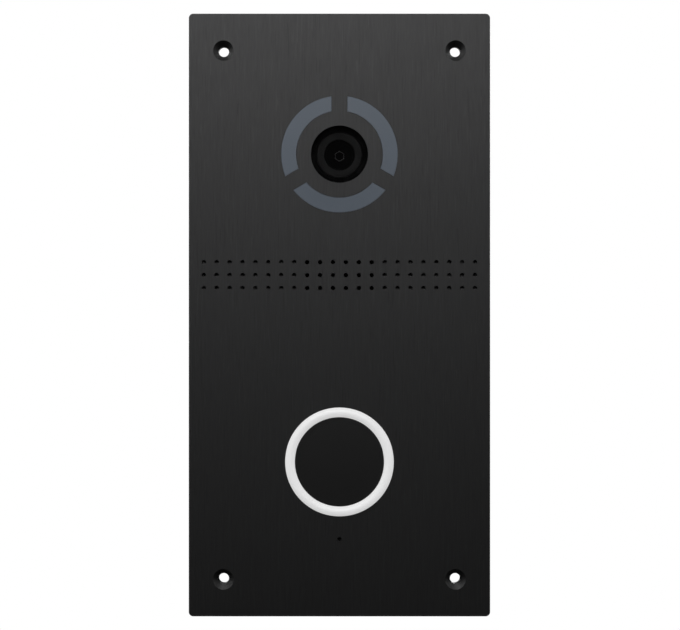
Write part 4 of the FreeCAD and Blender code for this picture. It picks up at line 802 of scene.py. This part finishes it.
def addTerminalParts():
    low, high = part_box("terminal_blocks")
    levers = bmesh.new()
    cages = bmesh.new()
    size = {key: value * mm for key, value in terminalParts.items() if isinstance(value, float)}
    for x in wayPlaces():
        half = size["leverHalf"]
        start = Vector((x - half, high.y - size["leverBack"], low.z + size["leverLow"]))
        end = Vector((x + half, high.y - size["leverFront"], low.z + size["leverHigh"]))
        roundedBar(levers, start, end, size["leverEdge"])
        notch = Vector(terminalParts["grip"]) * mm
        grip = Vector((x, end.y + size["gripRise"], (start.z + end.z) / 2))
        roundedBar(levers, grip - notch, grip + notch, size["gripEdge"])
        hole = Vector((x, high.y - size["cageDepth"], low.z + size["holeRise"]))
        ring = bmesh.ops.create_cone(
            cages, cap_ends=False, segments=terminalParts["cageSides"], radius1=size["cageMouth"],
            radius2=size["cageThroat"], depth=size["cageLength"],
            matrix=Matrix.Translation(hole) @ Matrix.Rotation(math.radians(90), 4, "X")
        )
        walls = {face for vert in ring["verts"] for face in vert.link_faces}
        bmesh.ops.solidify(cages, geom=list(walls), thickness=size["cageWall"])
    addPiece("terminalLevers", levers, "housing", connectorIvory)
    addPiece("terminalCages", cages, "housing", clampSteel)


addLightRing()
addButtonCap()
addCameraWindow()
addLensBarrel()
addLensBaffles()
addFrontLens()
addIris()
addButtonSpring()
addGasket("wall_gasket", "wallGasket", gasketFoam)
addGasket("front_gasket", "frontGasket", gasketFoam)
addGasket("rear_cover_seal", "rearCoverSeal", sealRubber)
addSocketContacts()
addTerminalParts()
print("pieces ready")


studio = {
    "cameraDistance": 0.450,  # from the face
    "frameWidth": 0.27058,  # what the picture spans at the face
    "sensor": 36.0,
    "sideStep": 0.00022,
    "keyPower": 7.0,
    "keyPlace": (-0.08, -0.55, 0.55),
    "keySize": (1.0, 0.6),
    "ambient": 0.002,
    "fills": {  # place, size in metres, power
        "fillLeft": ((-1.3, -0.22, 0.15), (0.4, 1.2), 4.0),
        "fillRight": ((1.3, -0.22, 0.15), (0.4, 1.2), 3.0),
        "fillBehind": ((0.7, 1.0, 0.6), (0.9, 0.9), 34.0),
        "fillBehindLeft": ((-0.9, 0.8, 0.5), (0.7, 0.9), 20.0),
    },
}


def setWorld():
    world = bpy.data.worlds.new("studioWorld")
    world.use_nodes = True
    tree = world.node_tree
    tree.nodes.clear()
    rays = addNode(tree, "ShaderNodeLightPath")
    white = addNode(tree, "ShaderNodeBackground", s_Color=(1, 1, 1, 1), s_Strength=1.0)
    dim = addNode(tree, "ShaderNodeBackground", s_Color=(1, 1, 1, 1), s_Strength=studio["ambient"])
    seen = rays.outputs["Is Camera Ray"]
    mix = addNode(tree, "ShaderNodeMixShader", {0: seen, 1: dim.outputs[0], 2: white.outputs[0]})
    addNode(tree, "ShaderNodeOutputWorld", {"Surface": mix.outputs[0]})
    bpy.context.scene.world = world


def addSoftbox(name, place, target, size, power):
    light = bpy.data.lights.new(name, "AREA")
    light.shape = "RECTANGLE"
    light.size, light.size_y = size
    light.energy = power
    lamp = bpy.data.objects.new(name, light)
    lamp.location = place
    lamp.rotation_euler = (Vector(target) - Vector(place)).to_track_quat("-Z", "Y").to_euler()
    lamp.visible_camera = False
    bpy.context.scene.collection.objects.link(lamp)


def addFloor():
    low = cadBounds[0]
    bm = bmesh.new()
    bmesh.ops.create_grid(bm, x_segments=2, y_segments=2, size=3.0)
    bmesh.ops.translate(bm, verts=bm.verts, vec=(0, 0, low[2]))
    mesh = bpy.data.meshes.new("floor")
    bm.to_mesh(mesh)
    bm.free()
    floor = bpy.data.objects.new("floor", mesh)
    bpy.context.scene.collection.objects.link(floor)
    material, tree = newMaterial("paleFloor")[:2]
    rays = addNode(tree, "ShaderNodeLightPath")
    glow = addNode(tree, "ShaderNodeEmission", s_Color=(1, 1, 1, 1), s_Strength=1.0)
    dark = addNode(tree, "ShaderNodeBsdfDiffuse", s_Color=(0.012, 0.012, 0.012, 1))
    seen = rays.outputs["Is Camera Ray"]
    mix = addNode(tree, "ShaderNodeMixShader", {0: seen, 1: dark.outputs[0], 2: glow.outputs[0]})
    tree.links.new(mix.outputs[0], tree.nodes["Material Output"].inputs["Surface"])
    floor.data.materials.append(material)


def addCamera():
    camera = bpy.data.cameras.new("camera")
    camera.sensor_width = studio["sensor"]
    camera.lens = studio["sensor"] * studio["cameraDistance"] / studio["frameWidth"]
    camera.clip_start = 0.01
    view = bpy.data.objects.new("camera", camera)
    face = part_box("face_plate")[0].y
    view.location = (studio["sideStep"], face - studio["cameraDistance"], 0)
    view.rotation_euler = (math.radians(90), 0, 0)
    bpy.context.scene.collection.objects.link(view)
    bpy.context.scene.camera = view


setWorld()
addSoftbox("keyAbove", studio["keyPlace"], (0, 0, 0.02), studio["keySize"], studio["keyPower"])
for name, (place, size, power) in studio["fills"].items():
    addSoftbox(name, place, (0, 0, 0), size, power)
addFloor()
addCamera()
bpy.context.scene.view_settings.view_transform = "Standard"
print("studio ready")
